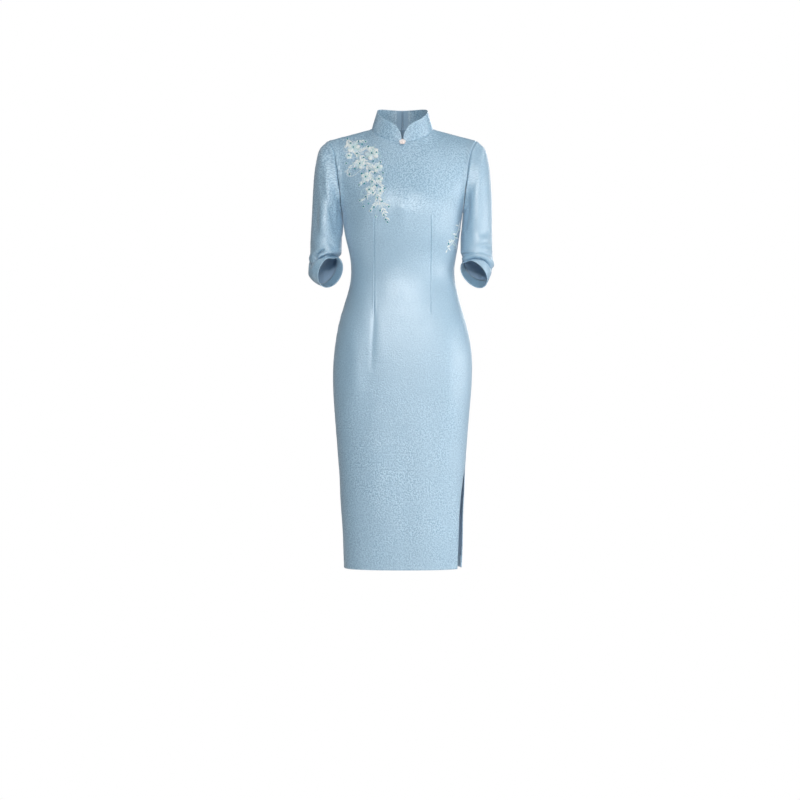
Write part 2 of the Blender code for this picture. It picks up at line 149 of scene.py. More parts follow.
# ------------------------------------------------------------ curve helpers
def spline(xs, ys, x):
    """Cubic through a table, with slopes taken from the neighbours."""
    xs, ys = np.asarray(xs, float), np.asarray(ys, float)
    x = np.clip(np.asarray(x, float), xs[0], xs[-1])
    slope = np.gradient(ys, xs)
    i = np.clip(np.searchsorted(xs, x) - 1, 0, len(xs) - 2)
    h = xs[i + 1] - xs[i]
    t = (x - xs[i]) / h
    return ((2 * t**3 - 3 * t**2 + 1) * ys[i] + (t**3 - 2 * t**2 + t) * h * slope[i]
            + (-2 * t**3 + 3 * t**2) * ys[i + 1] + (t**3 - t**2) * h * slope[i + 1])


def smooth(t):
    t = np.clip(t, 0.0, 1.0)
    return t * t * (3 - 2 * t)


def at_fractions(points, fractions):
    """Points at given shares of a polyline's length."""
    points = np.asarray(points, float)
    run = np.concatenate([[0], np.cumsum(np.linalg.norm(np.diff(points, axis=0), axis=1))])
    goal = np.asarray(fractions) * run[-1]
    return np.stack([np.interp(goal, run, points[:, k]) for k in range(3)], axis=1)


def body_size(z, column):
    k = SECTIONS.index(column)
    return float(spline([r[0] for r in BODY], [r[k] for r in BODY], z))


def body_quarter(z, side, face):
    """From the centre line round to the side seam, at one height."""
    a = body_size(z, "left" if side < 0 else "right")
    b = body_size(z, "front" if face < 0 else "back")
    e = 2.0 / body_size(z, "power")
    t = np.linspace(0, math.pi / 2, 240) ** 1.0
    x = side * a * np.sin(t) ** e
    y = face * b * np.cos(t) ** e
    x[0], y[-1] = 0.0, 0.0
    return np.stack([x, y, np.full_like(x, z)], axis=1)


def neck_point(angle, side):
    """Foot of the collar; 0 is centre front, pi is centre back."""
    s, c = math.sin(angle), math.cos(angle)
    depth = NECK_FRONT if c > 0 else NECK_BACK
    lift = (NECK_RISE - NECK_DROP) / 2
    return np.array([side * NECK_HALF_WIDTH * s, NECK_Y - depth * c,
                     -(NECK_RISE + NECK_DROP) / 2 * c + lift * c * c])


def shoulder_point(t, side):
    """Shoulder seam from the neck (0) to the sleeve head (1)."""
    a = neck_point(math.pi / 2, side)
    b = np.array([side * SHOULDER_TIP[0], SHOULDER_TIP[1], SHOULDER_TIP[2]])
    return a + (b - a) * t


def armhole_point(angle, side, face):
    """Sleeve seam; 0 is the underarm, pi the shoulder tip."""
    z0, z1 = ARMHOLE[0][0], SHOULDER_TIP[2]
    c, s = math.cos(angle), math.sin(angle)
    z = (z0 + z1) / 2 - (z1 - z0) / 2 * c
    x = float(spline([r[0] for r in ARMHOLE], [r[1] for r in ARMHOLE], z))
    y = SHOULDER_TIP[1] * (1 - c) / 2 + face * (ARM_FRONT if face < 0 else ARM_BACK) * s
    return np.array([side * x, y, z])


def centre_point(v, face):
    """Centre line of the chest or the shoulders, underarm level to neck."""
    end = neck_point(0.0 if face < 0 else math.pi, 1)
    start = face * body_size(UNDERARM_Z, "front" if face < 0 else "back")
    power = 1.7 if face < 0 else 2.3
    return np.array([0.0, start + (end[1] - start) * v ** power,
                     UNDERARM_Z + (end[2] - UNDERARM_Z) * v])


def top_edge(side, face, fractions):
    """Neckline, then shoulder seam, as one edge."""
    out = []
    for u in fractions:
        if u <= NECK_SHARE:
            angle = u / NECK_SHARE * math.pi / 2
            out.append(neck_point(angle if face < 0 else math.pi - angle, side))
        else:
            out.append(shoulder_point((u - NECK_SHARE) / (1 - NECK_SHARE), side))
    return np.array(out)


def yoke_row(v, side, face, fractions):
    """A row of the panel between the underarm (0) and the top edge (1)."""
    low = at_fractions(body_quarter(UNDERARM_Z, side, face), fractions)
    high = top_edge(side, face, fractions)
    inner, outer = centre_point(v, face), armhole_point(math.pi * v, side, face)
    u = np.asarray(fractions)[:, None]
    ruled = (1 - v) * low + v * high
    corners = ((1 - v) * ((1 - u) * centre_point(0, face) + u * armhole_point(0, side, face))
               + v * ((1 - u) * centre_point(1, face) + u * armhole_point(math.pi, side, face)))
    return ruled + (1 - u) * inner + u * outer - corners


def shape_panel(points, folds, face):
    """Darts and fullness, as soft troughs and ridges along short lines."""
    out = points.copy()
    for _, x0, z0, x1, z1, reach, height in folds:
        a, d = np.array([x0, z0]), np.array([x1 - x0, z1 - z0], float)
        p = points[..., [0, 2]] - a
        t = np.clip((p @ d) / (d @ d), 0, 1)
        away = np.linalg.norm(p - t[..., None] * d, axis=-1)
        edge = np.sin(np.clip(t, 0.12, 0.88) * math.pi) if height < 0 else 1.0
        out[..., 1] += face * height * edge * np.exp(-0.5 * (away / reach) ** 2)
    return out


def open_slit(points, fractions, side):
    """The front edge of the open slit swings in and forward of the back."""
    out = points.copy()
    drop = SLIT_TOP_Z - points[..., 2]
    inset, forward = (11.0, 24.0) if side > 0 else (0.6, 2.2)
    u = np.asarray(fractions)[None, :]
    edge = smooth((u - 0.62) / 0.38) * smooth(drop / 130.0) * (1 + 0.1 * smooth(drop / 240.0))
    out[..., 0] -= side * inset * edge
    out[..., 1] -= forward * edge
    return out


HALF = [0, .1, .2, .3, .4, .5, .6, .7, .8, .9, .982, 1 - 0.0012]
YOKE = [.1, .2, .31, .42, .54, .66, .78, .89, .975, 1 - 0.0035]
SKIRT_Z = np.concatenate([np.linspace(HEM_Z, -480, 13), np.linspace(-480, UNDERARM_Z, 10)[1:]])


def panel_half(side, face, fractions):
    rows = [at_fractions(body_quarter(z, side, face), fractions) for z in SKIRT_Z]
    rows += [yoke_row(v, side, face, fractions) for v in YOKE]
    grid = np.array(rows)
    top = len(grid) - 1
    # ease the corner that the neck side would print on the rows below it
    for _ in range(6):
        calm = grid.copy()
        calm[len(SKIRT_Z) - 2:top - 1, 1:-2] = (
            grid[len(SKIRT_Z) - 2:top - 1, :-3] + grid[len(SKIRT_Z) - 2:top - 1, 2:-1]
            + grid[len(SKIRT_Z) - 3:top - 2, 1:-2] + grid[len(SKIRT_Z) - 1:top, 1:-2]) / 4
        calm[:, 0] = grid[:, 0]
        grid = 0.5 * grid + 0.5 * calm
    return grid


def collar_height(run):
    """Height of the collar edge, by distance from its front edge."""
    full = COLLAR_RISE + 2.0
    r = COLLAR_CORNER
    return full - r + math.sqrt(max(r * r - max(r - run, 0) ** 2, 0)) if run < r else full


def sleeve_grid(side, around=16):
    """Rings from the armhole to the cuff; angle 0 is outside, 90 deg front."""
    angles = np.arange(around) * 2 * math.pi / around
    rings = []
    ring = []
    for t in angles:
        face = -1 if math.sin(t) >= 0 else 1
        p = armhole_point(math.pi - (t if t <= math.pi else 2 * math.pi - t), side, face)
        p[0] += side * (1.15 + 0.55 * smooth(-math.cos(t)))
        p[2] -= 0.25 * max(math.cos(t), 0)
        ring.append(p)
    rings.append(ring)
    hx, hy = FOREARM
    axis = Vector((hy, -hx, 0)).normalized()
    sections = SLEEVE if side < 0 else SLEEVE[:-len(SLEEVE_END)] + SLEEVE_END
    for x, y, z, lean, bend, across, deep, closer in sections:
        lean = math.radians(lean)
        turn = Matrix.Rotation(math.radians(bend), 3, axis)
        e1 = turn @ Vector((-math.cos(lean), 0, math.sin(lean)))
        e2 = turn @ Vector((0, -1, 0))
        ring = []
        for t in angles:
            p = Vector((x, y, z)) + e1 * across * math.cos(t) + e2 * deep * math.sin(t)
            ring.append([p.x if side < 0 else -p.x - closer, p.y, p.z])
        rings.append(ring)
    grid = np.array(rings, float)
    deg = np.degrees(angles)[None, :] * np.ones((len(rings), 1))
    centre = grid.mean(axis=1, keepdims=True)
    out = grid - centre
    out /= np.linalg.norm(out, axis=-1, keepdims=True)
    push = np.zeros(grid.shape[:2])
    for _, a0, z0, a1, z1, reach, height in SLEEVE_FOLDS:
        zc = centre[..., 2] * np.ones_like(deg)
        zc = grid[..., 2]
        t = np.clip((zc - z0) / (z1 - z0), 0, 1)
        gap = np.abs((deg - (a0 + (a1 - a0) * t) + 180) % 360 - 180)
        fade = smooth((zc - min(z0, z1) + 30) / 30) * smooth((max(z0, z1) + 30 - zc) / 30)
        push += height * fade * np.exp(-0.5 * (gap / reach) ** 2)
    push[0] = 0
    push[1] *= 0.5
    return grid + out * push[..., None]


# the button: five round petals and a bead, pressed flat
FLOWER_AT = (0.0, -58.6, -36.0)
FLOWER_TILT = 30.0
PETAL = 3.3
PETAL_RING = 4.5
PETAL_THICK = 1.5
BEAD = 2.1


# the zip: a slider at the top of the centre back and its hinged pull tab
SLIDER = dict(width=6.0, length=10.0, thick=1.6)
LUG = dict(width=1.0, reach=3.4, tall=3.2, inside=2.6)
PIN_RADIUS = 0.55
TAB = dict(width=4.4, length=19.0, thick=1.0)
ZIP_LEAN = math.atan2(NECK_BACK - COLLAR_TOP_DEPTH + 1, COLLAR_RISE)


def zip_frame():
    """Centre of the slider on the outside of the collar, near its top."""
    foot, share = neck_point(math.pi, 1), 0.80
    top = np.array([0, NECK_Y - 1 + COLLAR_TOP_DEPTH, foot[2] + COLLAR_RISE])
    p = foot + (top - foot) * share
    turn = Matrix.Rotation(ZIP_LEAN, 4, "X")
    normal = turn @ Vector((0, 1, 0))
    centre = Vector(p) + normal * (WALL / 2 + SEAM + SLIDER["thick"] / 2 + 0.25)
    return Matrix.Translation(centre * MM) @ turn




# ------------------------------------------------------------ fine surfaces
def hermite(values, t, tn):
    """Cubic through rows of values at parameters t, read at tn."""
    values, t, tn = np.asarray(values, float), np.asarray(t, float), np.asarray(tn, float)
    slope = np.gradient(values, t, axis=0)
    i = np.clip(np.searchsorted(t, tn, side="right") - 1, 0, len(t) - 2)
    like = (-1,) + (1,) * (values.ndim - 1)
    h = (t[i + 1] - t[i]).reshape(like)
    s = ((tn - t[i]) / (t[i + 1] - t[i])).reshape(like)
    return ((2 * s**3 - 3 * s**2 + 1) * values[i] + (s**3 - 2 * s**2 + s) * h * slope[i]
            + (-2 * s**3 + 3 * s**2) * values[i + 1] + (s**3 - s**2) * h * slope[i + 1])


def runs(grid, axis):
    """Mean distance of each row (or column) from the first, in mm."""
    step = np.linalg.norm(np.diff(grid, axis=axis), axis=-1)
    return np.concatenate([[0], np.cumsum(step.mean(axis=1 - axis))])


def spaced(length, step, low=(), high=()):
    """Even stations with extra ones near either end."""
    n = max(int(round(length / step)), 2)
    t = list(np.linspace(0, length, n + 1))
    t += list(low) + [length - h for h in high]
    t = np.unique(np.round(t, 3))
    keep = [t[0]]
    marks = set(np.round(list(low) + [length - h for h in high] + [0, length], 3))
    for v in t[1:]:
        if v - keep[-1] < 0.22 * step and v not in marks:
            continue
        keep.append(v)
    return np.array(keep)


def normals(grid, wrap=False):
    if wrap:
        du = np.roll(grid, -1, axis=1) - np.roll(grid, 1, axis=1)
    else:
        du = np.gradient(grid, axis=1)
    dv = np.gradient(grid, axis=0)
    n = np.cross(du, dv)
    return n / np.maximum(np.linalg.norm(n, axis=-1, keepdims=True), 1e-9)


def lumps(points, size, seed):
    """Smooth noise in -1..1, read at points given in mm."""
    flat = points.reshape(-1, points.shape[-1]) / size
    shift = seed * 17.31
    out = np.array([noise.noise(Vector((p[0] + shift, p[1] - shift, p[2] + 0.37 * seed)))
                    for p in flat])
    return out.reshape(points.shape[:-1])


def crease(q, table):
    """Soft troughs and ridges along short bent lines, in the plane of q."""
    out = np.zeros(q.shape[:-1])
    for line, reach, height, sharp in table:
        best = np.full(q.shape[:-1], 1e9)
        along = np.zeros(q.shape[:-1])
        total = sum(math.dist(a, b) for a, b in zip(line, line[1:]))
        run = 0.0
        side = np.zeros(q.shape[:-1])
        for a, b in zip(line, line[1:]):
            a, b = np.array(a, float), np.array(b, float)
            d = b - a
            t = np.clip(((q - a) @ d) / (d @ d), 0, 1)
            w = q - a - t[..., None] * d
            dist = np.linalg.norm(w, axis=-1)
            near = dist < best
            best = np.where(near, dist, best)
            side = np.where(near, np.sign(w[..., 0] * d[1] - w[..., 1] * d[0]), side)
            along = np.where(near, (run + t * np.linalg.norm(d)) / total, along)
            run += np.linalg.norm(d)
        # sharp > 0 steepens the flank on one side of the line
        wide = reach * np.where(side > 0, 1 - 0.6 * sharp, 1 + 0.4 * sharp)
        ends = np.sin(np.clip(along, 0.0, 1.0) * math.pi) ** 0.6
        beyond = np.exp(-0.5 * (best / np.maximum(wide, 0.1)) ** 2)
        out += height * beyond * np.maximum(ends, 0.0)
    return out


def tuck(P, N, q, table, mask):
    """Folds where the cloth above a line rolls down over the cloth below it.
    Each row: line (drawn from -x to +x in the front view), reach and depth of
    the hollow under the roll, height of the roll, how far it hangs over."""
    lift = np.zeros(q.shape[:-1])
    slip = np.zeros(P.shape)
    for line, reach, depth, roll, over in table:
        best = np.full(q.shape[:-1], 1e9)
        along = np.zeros(q.shape[:-1])
        away = np.zeros(q.shape)
        total = sum(math.dist(a, b) for a, b in zip(line, line[1:]))
        run = 0.0
        for a, b in zip(line, line[1:]):
            a, b = np.array(a, float), np.array(b, float)
            d = b - a
            size = np.linalg.norm(d)
            t = np.clip(((q - a) @ d) / (d @ d), 0, 1)
            w = q - a - t[..., None] * d
            up = np.array([-d[1], d[0]]) / size
            dist = np.linalg.norm(w, axis=-1) * np.where(w @ up >= 0, 1, -1)
            near = np.abs(dist) < np.abs(best)
            best = np.where(near, dist, best)
            away = np.where(near[..., None], up, away)
            along = np.where(near, (run + t * size) / total, along)
            run += size
        fade = np.clip(np.sin(np.clip(along, 0, 1) * math.pi), 0, 1) ** 0.5 * mask
        lift += fade * (-depth * np.exp(-0.5 * ((best + 0.6) / reach) ** 2)
                        + roll * np.exp(-0.5 * ((best - 4.2) / 2.6) ** 2))
        drop = fade * over * np.exp(-0.5 * ((best - 2.6) / 1.9) ** 2)
        way = np.stack([away[..., 0], np.zeros_like(best), away[..., 1]], axis=-1)
        way -= N * (way * N).sum(axis=-1, keepdims=True)
        way /= np.maximum(np.linalg.norm(way, axis=-1, keepdims=True), 1e-6)
        slip -= way * drop[..., None]
    return lift, slip


def turn_in(P, N, W, axis, end, steps, depth):
    """Fold an edge allowance to the inside: extra stations before (or after)."""
    if axis:
        P, N, W = P.swapaxes(0, 1), N.swapaxes(0, 1), W.swapaxes(0, 1)
    if end:
        P, N, W = P[::-1], N[::-1], W[::-1]
    run = np.concatenate([np.zeros((1, P.shape[1])),
                          np.cumsum(np.linalg.norm(np.diff(P, axis=0), axis=-1), axis=0)])
    depth = np.broadcast_to(depth, (P.shape[1],))
    away = P[0] - P[2]
    away /= np.maximum(np.linalg.norm(away, axis=-1, keepdims=True), 1e-9)
    rows, nrm, uvs = [], [], []
    for h in steps:
        row, rn = np.empty_like(P[0]), np.empty_like(P[0])
        for j in range(P.shape[1]):
            for k in range(3):
                row[j, k] = np.interp(h, run[:, j], P[:, j, k])
                rn[j, k] = np.interp(h, run[:, j], N[:, j, k])
        rows.append(row - rn * depth[:, None])
        nrm.append(rn)
        w = W[0].copy()
        w[:, 1 - axis] += (h + 1.5) * (-1 if not end else 1)
        uvs.append(w)
    rows.append(P[0] - N[0] * depth[:, None] * 0.5 + away * np.minimum(depth, 1.6)[:, None] * 0.28)
    nrm.append(N[0])
    w = W[0].copy()
    w[:, 1 - axis] += 0.8 * (-1 if not end else 1)
    uvs.append(w)
    P = np.concatenate([np.array(rows), P])
    N = np.concatenate([np.array(nrm), N])
    W = np.concatenate([np.array(uvs), W])
    if end:
        P, N, W = P[::-1], N[::-1], W[::-1]
    if axis:
        P, N, W = P.swapaxes(0, 1), N.swapaxes(0, 1), W.swapaxes(0, 1)
    return P, N, W


def cloth_weights(grid):
    """Distances over the cloth from a corner, used as its thread directions."""
    du = np.linalg.norm(np.diff(grid, axis=1), axis=-1)
    dv = np.linalg.norm(np.diff(grid, axis=0), axis=-1)
    u = np.concatenate([np.zeros((grid.shape[0], 1)), np.cumsum(du, axis=1)], axis=1)
    v = np.concatenate([np.zeros((1, grid.shape[1])), np.cumsum(dv, axis=0)])
    return np.stack([u, v], axis=-1)


def sleeve_weights(grid, cols, level, girth=270.0):
    """As above for a tube: the rows below `level` keep one distance all round."""
    dv = np.linalg.norm(np.diff(grid, axis=0), axis=-1)
    v = np.concatenate([np.zeros((1, grid.shape[1])), np.cumsum(dv, axis=0)])
    v = v - v[level] - grid[level, :, 2]
    mean = np.concatenate([[0], np.cumsum(dv.mean(axis=1))])
    base = -grid[level, :, 2].mean()
    for i in range(level + 1, len(grid)):
        blend = smooth((mean[i] - mean[level]) / 30.0)
        v[i] = v[i] * (1 - blend) + blend * (base + mean[i] - mean[level])
    u = np.broadcast_to(cols * girth, v.shape)
    return np.stack([u, v], axis=-1)


def make_sheet(name, grid, uv, mats, thick=0.7, wrap=False, flip=False, offset=0.0):
    rows, cols = grid.shape[:2]
    idx = np.arange(rows * cols).reshape(rows, cols)
    faces, loops = [], []
    for i in range(rows - 1):
        for j in range(cols if wrap else cols - 1):
            k = (j + 1) % cols
            quad = [(i, j), (i, k), (i + 1, k), (i + 1, j)]
            uvq = [uv[i, j], uv[i, k], uv[i + 1, k], uv[i + 1, j]]
            if wrap and k == 0:
                seam = uv[i, j][0] * 1.0 + (uv[i, j][0] - uv[i, j - 1][0])
                seam2 = uv[i + 1, j][0] + (uv[i + 1, j][0] - uv[i + 1, j - 1][0])
                uvq = [uv[i, j], (seam, uv[i, k][1]), (seam2, uv[i + 1, k][1]), uv[i + 1, j]]
            if flip:
                quad, uvq = quad[::-1], uvq[::-1]
            faces.append([int(idx[q]) for q in quad])
            loops.extend(uvq)
    mesh = bpy.data.meshes.new(name)
    mesh.from_pydata((grid.reshape(-1, 3) * MM).tolist(), [], faces)
    layer = mesh.uv_layers.new(name="cloth")
    layer.data.foreach_set("uv", (np.array(loops, float) * MM).reshape(-1))
    mesh.update()
    mesh.shade_smooth()
    for m in mats:
        mesh.materials.append(m)
    obj = bpy.data.objects.new(name, mesh)
    bpy.context.scene.collection.objects.link(obj)
    wall = obj.modifiers.new("wall", "SOLIDIFY")
    wall.thickness = thick * MM
    wall.offset = offset
    wall.material_offset = len(mats) - 1
    wall.material_offset_rim = 0
    return obj


def finish_piece(obj, node, slot="satin", body="dress", *more):
    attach(obj, body)
    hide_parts(node, *more)
    return obj


# ---------------------------------------------------------------- materials
def nodes_of(mat):
    mat.use_nodes = True
    tree = mat.node_tree
    return tree, tree.nodes["Principled BSDF"]


class Wires:
    """Short ways to add and join shader nodes."""

    def __init__(self, tree):
        self.tree = tree

    def node(self, kind, **props):
        n = self.tree.nodes.new(kind)
        for k, v in props.items():
            setattr(n, k, v)
        return n

    def join(self, out, into):
        self.tree.links.new(out, into)

    def put(self, value, socket):
        if isinstance(value, bpy.types.NodeSocket):
            self.join(value, socket)
        else:
            socket.default_value = value

    def math(self, op, a, b=None, c=None, clamp=False):
        n = self.node("ShaderNodeMath", operation=op, use_clamp=clamp)
        for k, v in enumerate((a, b, c)):
            if v is not None:
                self.put(v, n.inputs[k])
        return n.outputs[0]

    def vec(self, op, a, b=None, scale=None):
        n = self.node("ShaderNodeVectorMath", operation=op)
        self.put(a, n.inputs[0])
        if b is not None:
            self.put(b, n.inputs[1])
        if scale is not None:
            self.put(scale, n.inputs["Scale"])
        return n.outputs["Value"] if op in ("DOT_PRODUCT", "LENGTH") else n.outputs[0]

    def noise(self, vector, scale, detail=2.0, rough=0.5, dims="3D"):
        n = self.node("ShaderNodeTexNoise", noise_dimensions=dims)
        self.put(vector, n.inputs["Vector"])
        n.inputs["Scale"].default_value = scale
        n.inputs["Detail"].default_value = detail
        n.inputs["Roughness"].default_value = rough
        return n

    def spread(self, value, a, b, c, d, kind="LINEAR"):
        n = self.node("ShaderNodeMapRange", interpolation_type=kind)
        self.put(value, n.inputs["Value"])
        for k, v in zip(("From Min", "From Max", "To Min", "To Max"), (a, b, c, d)):
            n.inputs[k].default_value = v
        return n.outputs[0]

    def blend(self, fac, a, b):
        n = self.node("ShaderNodeMix", data_type="RGBA")
        self.put(fac, n.inputs[0])
        self.put(a, n.inputs[6])
        self.put(b, n.inputs[7])
        return n.outputs[2]


def satin(name, deep, light, rough, sheen=0.35, crackle=1.0, bump=0.5, gloss=1.9):
    """Crinkled jacquard satin: short runs of raised float threads that change
    direction every centimetre or so, over a fine satin ground."""
    mat = bpy.data.materials.new(name)
    tree, bsdf = nodes_of(mat)
    w = Wires(tree)
    uv = w.node("ShaderNodeUVMap", uv_map="cloth").outputs[0]
    stir = w.noise(uv, 95.0, 2.0).outputs["Color"]
    warp = w.vec("ADD", uv, w.vec("SCALE", w.vec("SUBTRACT", stir, (0.5, 0.5, 0.5)), scale=0.006))
    cell = w.node("ShaderNodeTexVoronoi", voronoi_dimensions="2D", feature="F1")
    w.join(warp, cell.inputs["Vector"])
    cell.inputs["Scale"].default_value = 110.0
    split = w.node("ShaderNodeSeparateColor")
    w.join(cell.outputs["Color"], split.inputs[0])
    angle = w.math("MULTIPLY", split.outputs[0], math.pi)
    xyz = w.node("ShaderNodeSeparateXYZ")
    w.join(warp, xyz.inputs[0])
    along = w.math("ADD", w.math("MULTIPLY", xyz.outputs[0], w.math("COSINE", angle)),
                   w.math("MULTIPLY", xyz.outputs[1], w.math("SINE", angle)))
    stripes = w.math("SINE", w.math("MULTIPLY", along, 2 * math.pi / 0.0050))
    worm = w.spread(w.noise(warp, 270.0, 0.6, 0.5, "2D").outputs["Fac"], 0.40, 0.60, -1.0, 1.0, "SMOOTHSTEP")
    fine = w.spread(w.noise(uv, 430.0, 2.5, 0.7, "2D").outputs["Fac"], 0.36, 0.64, -1.0, 1.0)
    patch = w.spread(w.noise(uv, 26.0, 2.0).outputs["Fac"], 0.32, 0.68, 0.45, 1.0)
    crinkle = w.math("MULTIPLY", w.math("ADD", w.math("MULTIPLY", worm, 0.55),
                     w.math("ADD", w.math("MULTIPLY", stripes, 0.18), w.math("MULTIPLY", fine, 0.50))), patch)
    # the floats stand up most over the chest and low on the skirt, more on the sleeve at -X and less on the one at +X;
    # the same masks scale the crinkle's colour contrast there, partly the cloth's own flecks and partly painted glints
    # of grazing light
    spot = w.node("ShaderNodeSeparateXYZ")
    w.join(w.node("ShaderNodeTexCoord").outputs["Object"], spot.inputs[0])
    relief_and_glint_by_height = w.node("ShaderNodeValToRGB")
    w.join(w.spread(spot.outputs[2], -1.03, 0.06, 0.0, 1.0), relief_and_glint_by_height.inputs[0])
    relief_and_glint_by_height.color_ramp.interpolation = "B_SPLINE"
    stops = ((0.0, 0.46), (0.15, 0.85), (0.30, 0.68), (0.44, 0.28), (0.62, 0.10), (0.74, 0.40), (0.84, 1.0), (1.0, 1.0))
    while len(relief_and_glint_by_height.color_ramp.elements) < len(stops):
        relief_and_glint_by_height.color_ramp.elements.new(0.5)
    for e, (at, v) in zip(relief_and_glint_by_height.color_ramp.elements, stops):
        e.position, e.color = at, (v, v, v, 1)
    # by x: more crinkle on the sleeve at -X, less at +X, in the bump and, as painted glints, in the colour
    across = w.math("MULTIPLY", w.spread(spot.outputs[0], 0.12, 0.165, 1.0, 0.34, "SMOOTHSTEP"),
                    w.spread(spot.outputs[0], -0.165, -0.13, 1.7, 1.0, "SMOOTHSTEP"))
    # colour contrast of the crinkle: the jacquard's own flecks, scaled by the masks above as painted glints
    raised = w.math("MULTIPLY", w.math("MULTIPLY", crinkle, 0.98 * crackle),
                    w.math("MULTIPLY", relief_and_glint_by_height.outputs[0], across))
    level = w.math("ADD", raised, 0.5, clamp=True)
    shade = w.noise(uv, 7.0, 2.0).outputs["Fac"]
    tone = w.blend(level, (*deep, 1), (*light, 1))
    mean = tuple(0.5 * (a + b) for a, b in zip(deep, light))
    tone = w.blend(w.spread(shade, 0.35, 0.65, 0.0, 0.30), tone, (*[c * 0.93 for c in mean], 1))
    w.join(tone, bsdf.inputs["Base Color"])
    w.join(w.spread(crinkle, -0.8, 0.8, rough + 0.07, rough - 0.05), bsdf.inputs["Roughness"])
    # satin ground: threads 0.4 mm apart with long floats across
    sep = w.node("ShaderNodeSeparateXYZ")
    w.join(uv, sep.inputs[0])
    warp_threads = w.math("SINE", w.math("MULTIPLY", sep.outputs[0], 2 * math.pi / 0.00042))
    weft = w.math("SINE", w.math("MULTIPLY", w.math("ADD", sep.outputs[1],
                  w.math("MULTIPLY", sep.outputs[0], 0.35)), 2 * math.pi / 0.0011))
    ground = w.math("ADD", w.math("MULTIPLY", warp_threads, 0.5), w.math("MULTIPLY", weft, 0.5))
    b1 = w.node("ShaderNodeBump")
    b1.inputs["Strength"].default_value = bump
    b1.inputs["Distance"].default_value = 0.0006
    stand = w.math("ADD", w.math("MULTIPLY", w.math("MULTIPLY", relief_and_glint_by_height.outputs[0], across), 0.60), 0.50)
    w.join(w.math("MULTIPLY", crinkle, stand), b1.inputs["Height"])
    b2 = w.node("ShaderNodeBump")
    b2.inputs["Strength"].default_value = 0.12
    b2.inputs["Distance"].default_value = 0.00008
    w.join(ground, b2.inputs["Height"])
    w.join(b1.outputs[0], b2.inputs["Normal"])
    w.join(b2.outputs[0], bsdf.inputs["Normal"])
    bsdf.inputs["IOR"].default_value = gloss
    bsdf.inputs["Specular IOR Level"].default_value = 0.9
    bsdf.inputs["Anisotropic"].default_value = 0.65
    tangent = w.node("ShaderNodeTangent", direction_type="UV_MAP", uv_map="cloth")
    w.join(tangent.outputs[0], bsdf.inputs["Tangent"])
    bsdf.inputs["Sheen Weight"].default_value = sheen
    bsdf.inputs["Sheen Roughness"].default_value = 0.42
    bsdf.inputs["Sheen Tint"].default_value = (0.86, 0.93, 1.0, 1.0)
    return mat


OUTER = satin("satin_face", (0.150, 0.318, 0.475), (0.420, 0.622, 0.762), 0.45, bump=0.33)
# the cloth's reverse, a duller satin, painted lighter than its own colour to stand in for light on the inner faces,
# which lie mostly in shade, as inside the slit
REVERSE_PAINTED_LIGHT = satin("satin_reverse_painted_light", (0.350, 0.510, 0.680), (0.420, 0.580, 0.740), 0.62,
                sheen=0.1, crackle=0.6, bump=0.3, gloss=1.45)

# -------------------------------------------------------------- body panels
FRONT_DART_X = 64.0
FRONT_DART = (-440.0, -190.0)
BACK_DART_X = 61.0
BACK_DART = (-440.0, -205.0)
DART_SHARE = 0.345

# creases on the front: points in the front view (mm), reach, height, sharpness
FRONT_CREASES = (
    (((-99, -166), (-112, -178), (-123, -200), (-129, -236)), 2.6, 2.2, 0.5),
    (((-104, -174), (-117, -188), (-127, -210), (-132, -236)), 2.4, -2.2, 0.2),
    (((106, -166), (119, -184), (128, -206), (133, -238)), 2.6, 2.2, 0.5),
    (((111, -176), (124, -194), (132, -214), (137, -238)), 2.4, -2.2, 0.2),
    (((76, -216), (72, -250), (64, -287)), 4.0, 1.6, 0.4),
    (((-66, -404), (-66, -450), (-69, -500), (-72, -560)), 4.2, -1.9, 0.5),
    (((-54, -424), (-51, -480), (-50, -540)), 9.0, 0.8, 0.0),
    (((-82, -424), (-86, -480), (-90, -540)), 8.0, 0.6, 0.0),
    (((-150, -118), (-128, -150), (-104, -176)), 9, -1.6, 0.3),
    (((-146, -160), (-124, -186), (-100, -200)), 7, 1.3, 0.0),
    (((148, -120), (128, -148), (110, -166)), 10, -1.3, 0.3),
    (((-118, -300), (-92, -318), (-66, -322)), 10, -0.7, 0.2),
    (((-116, -330), (-88, -338), (-58, -334)), 11, -0.5, 0.1),
    (((120, -306), (94, -322), (60, -326)), 11, -0.7, 0.2),
    (((118, -340), (86, -346), (52, -340)), 12, -0.4, 0.1),
    (((-30, -352), (4, -360), (44, -352)), 14, -0.4, 0.0),
    (((-52, -372), (-20, -382), (24, -378)), 14, 0.4, 0.0),
    (((-126, -420), (-108, -520), (-104, -640)), 13, 1.8, 0.2),
    (((-92, -440), (-84, -560), (-86, -700)), 15, -1.3, 0.0),
    (((112, -430), (104, -560), (110, -720)), 14, 1.6, 0.2),
    (((60, -600), (72, -760), (78, -960)), 18, -1.6, 0.0),
    (((-66, -640), (-60, -800), (-56, -990)), 18, 1.5, 0.0),
    (((6, -680), (12, -830), (8, -1000)), 20, -1.2, 0.0),
)
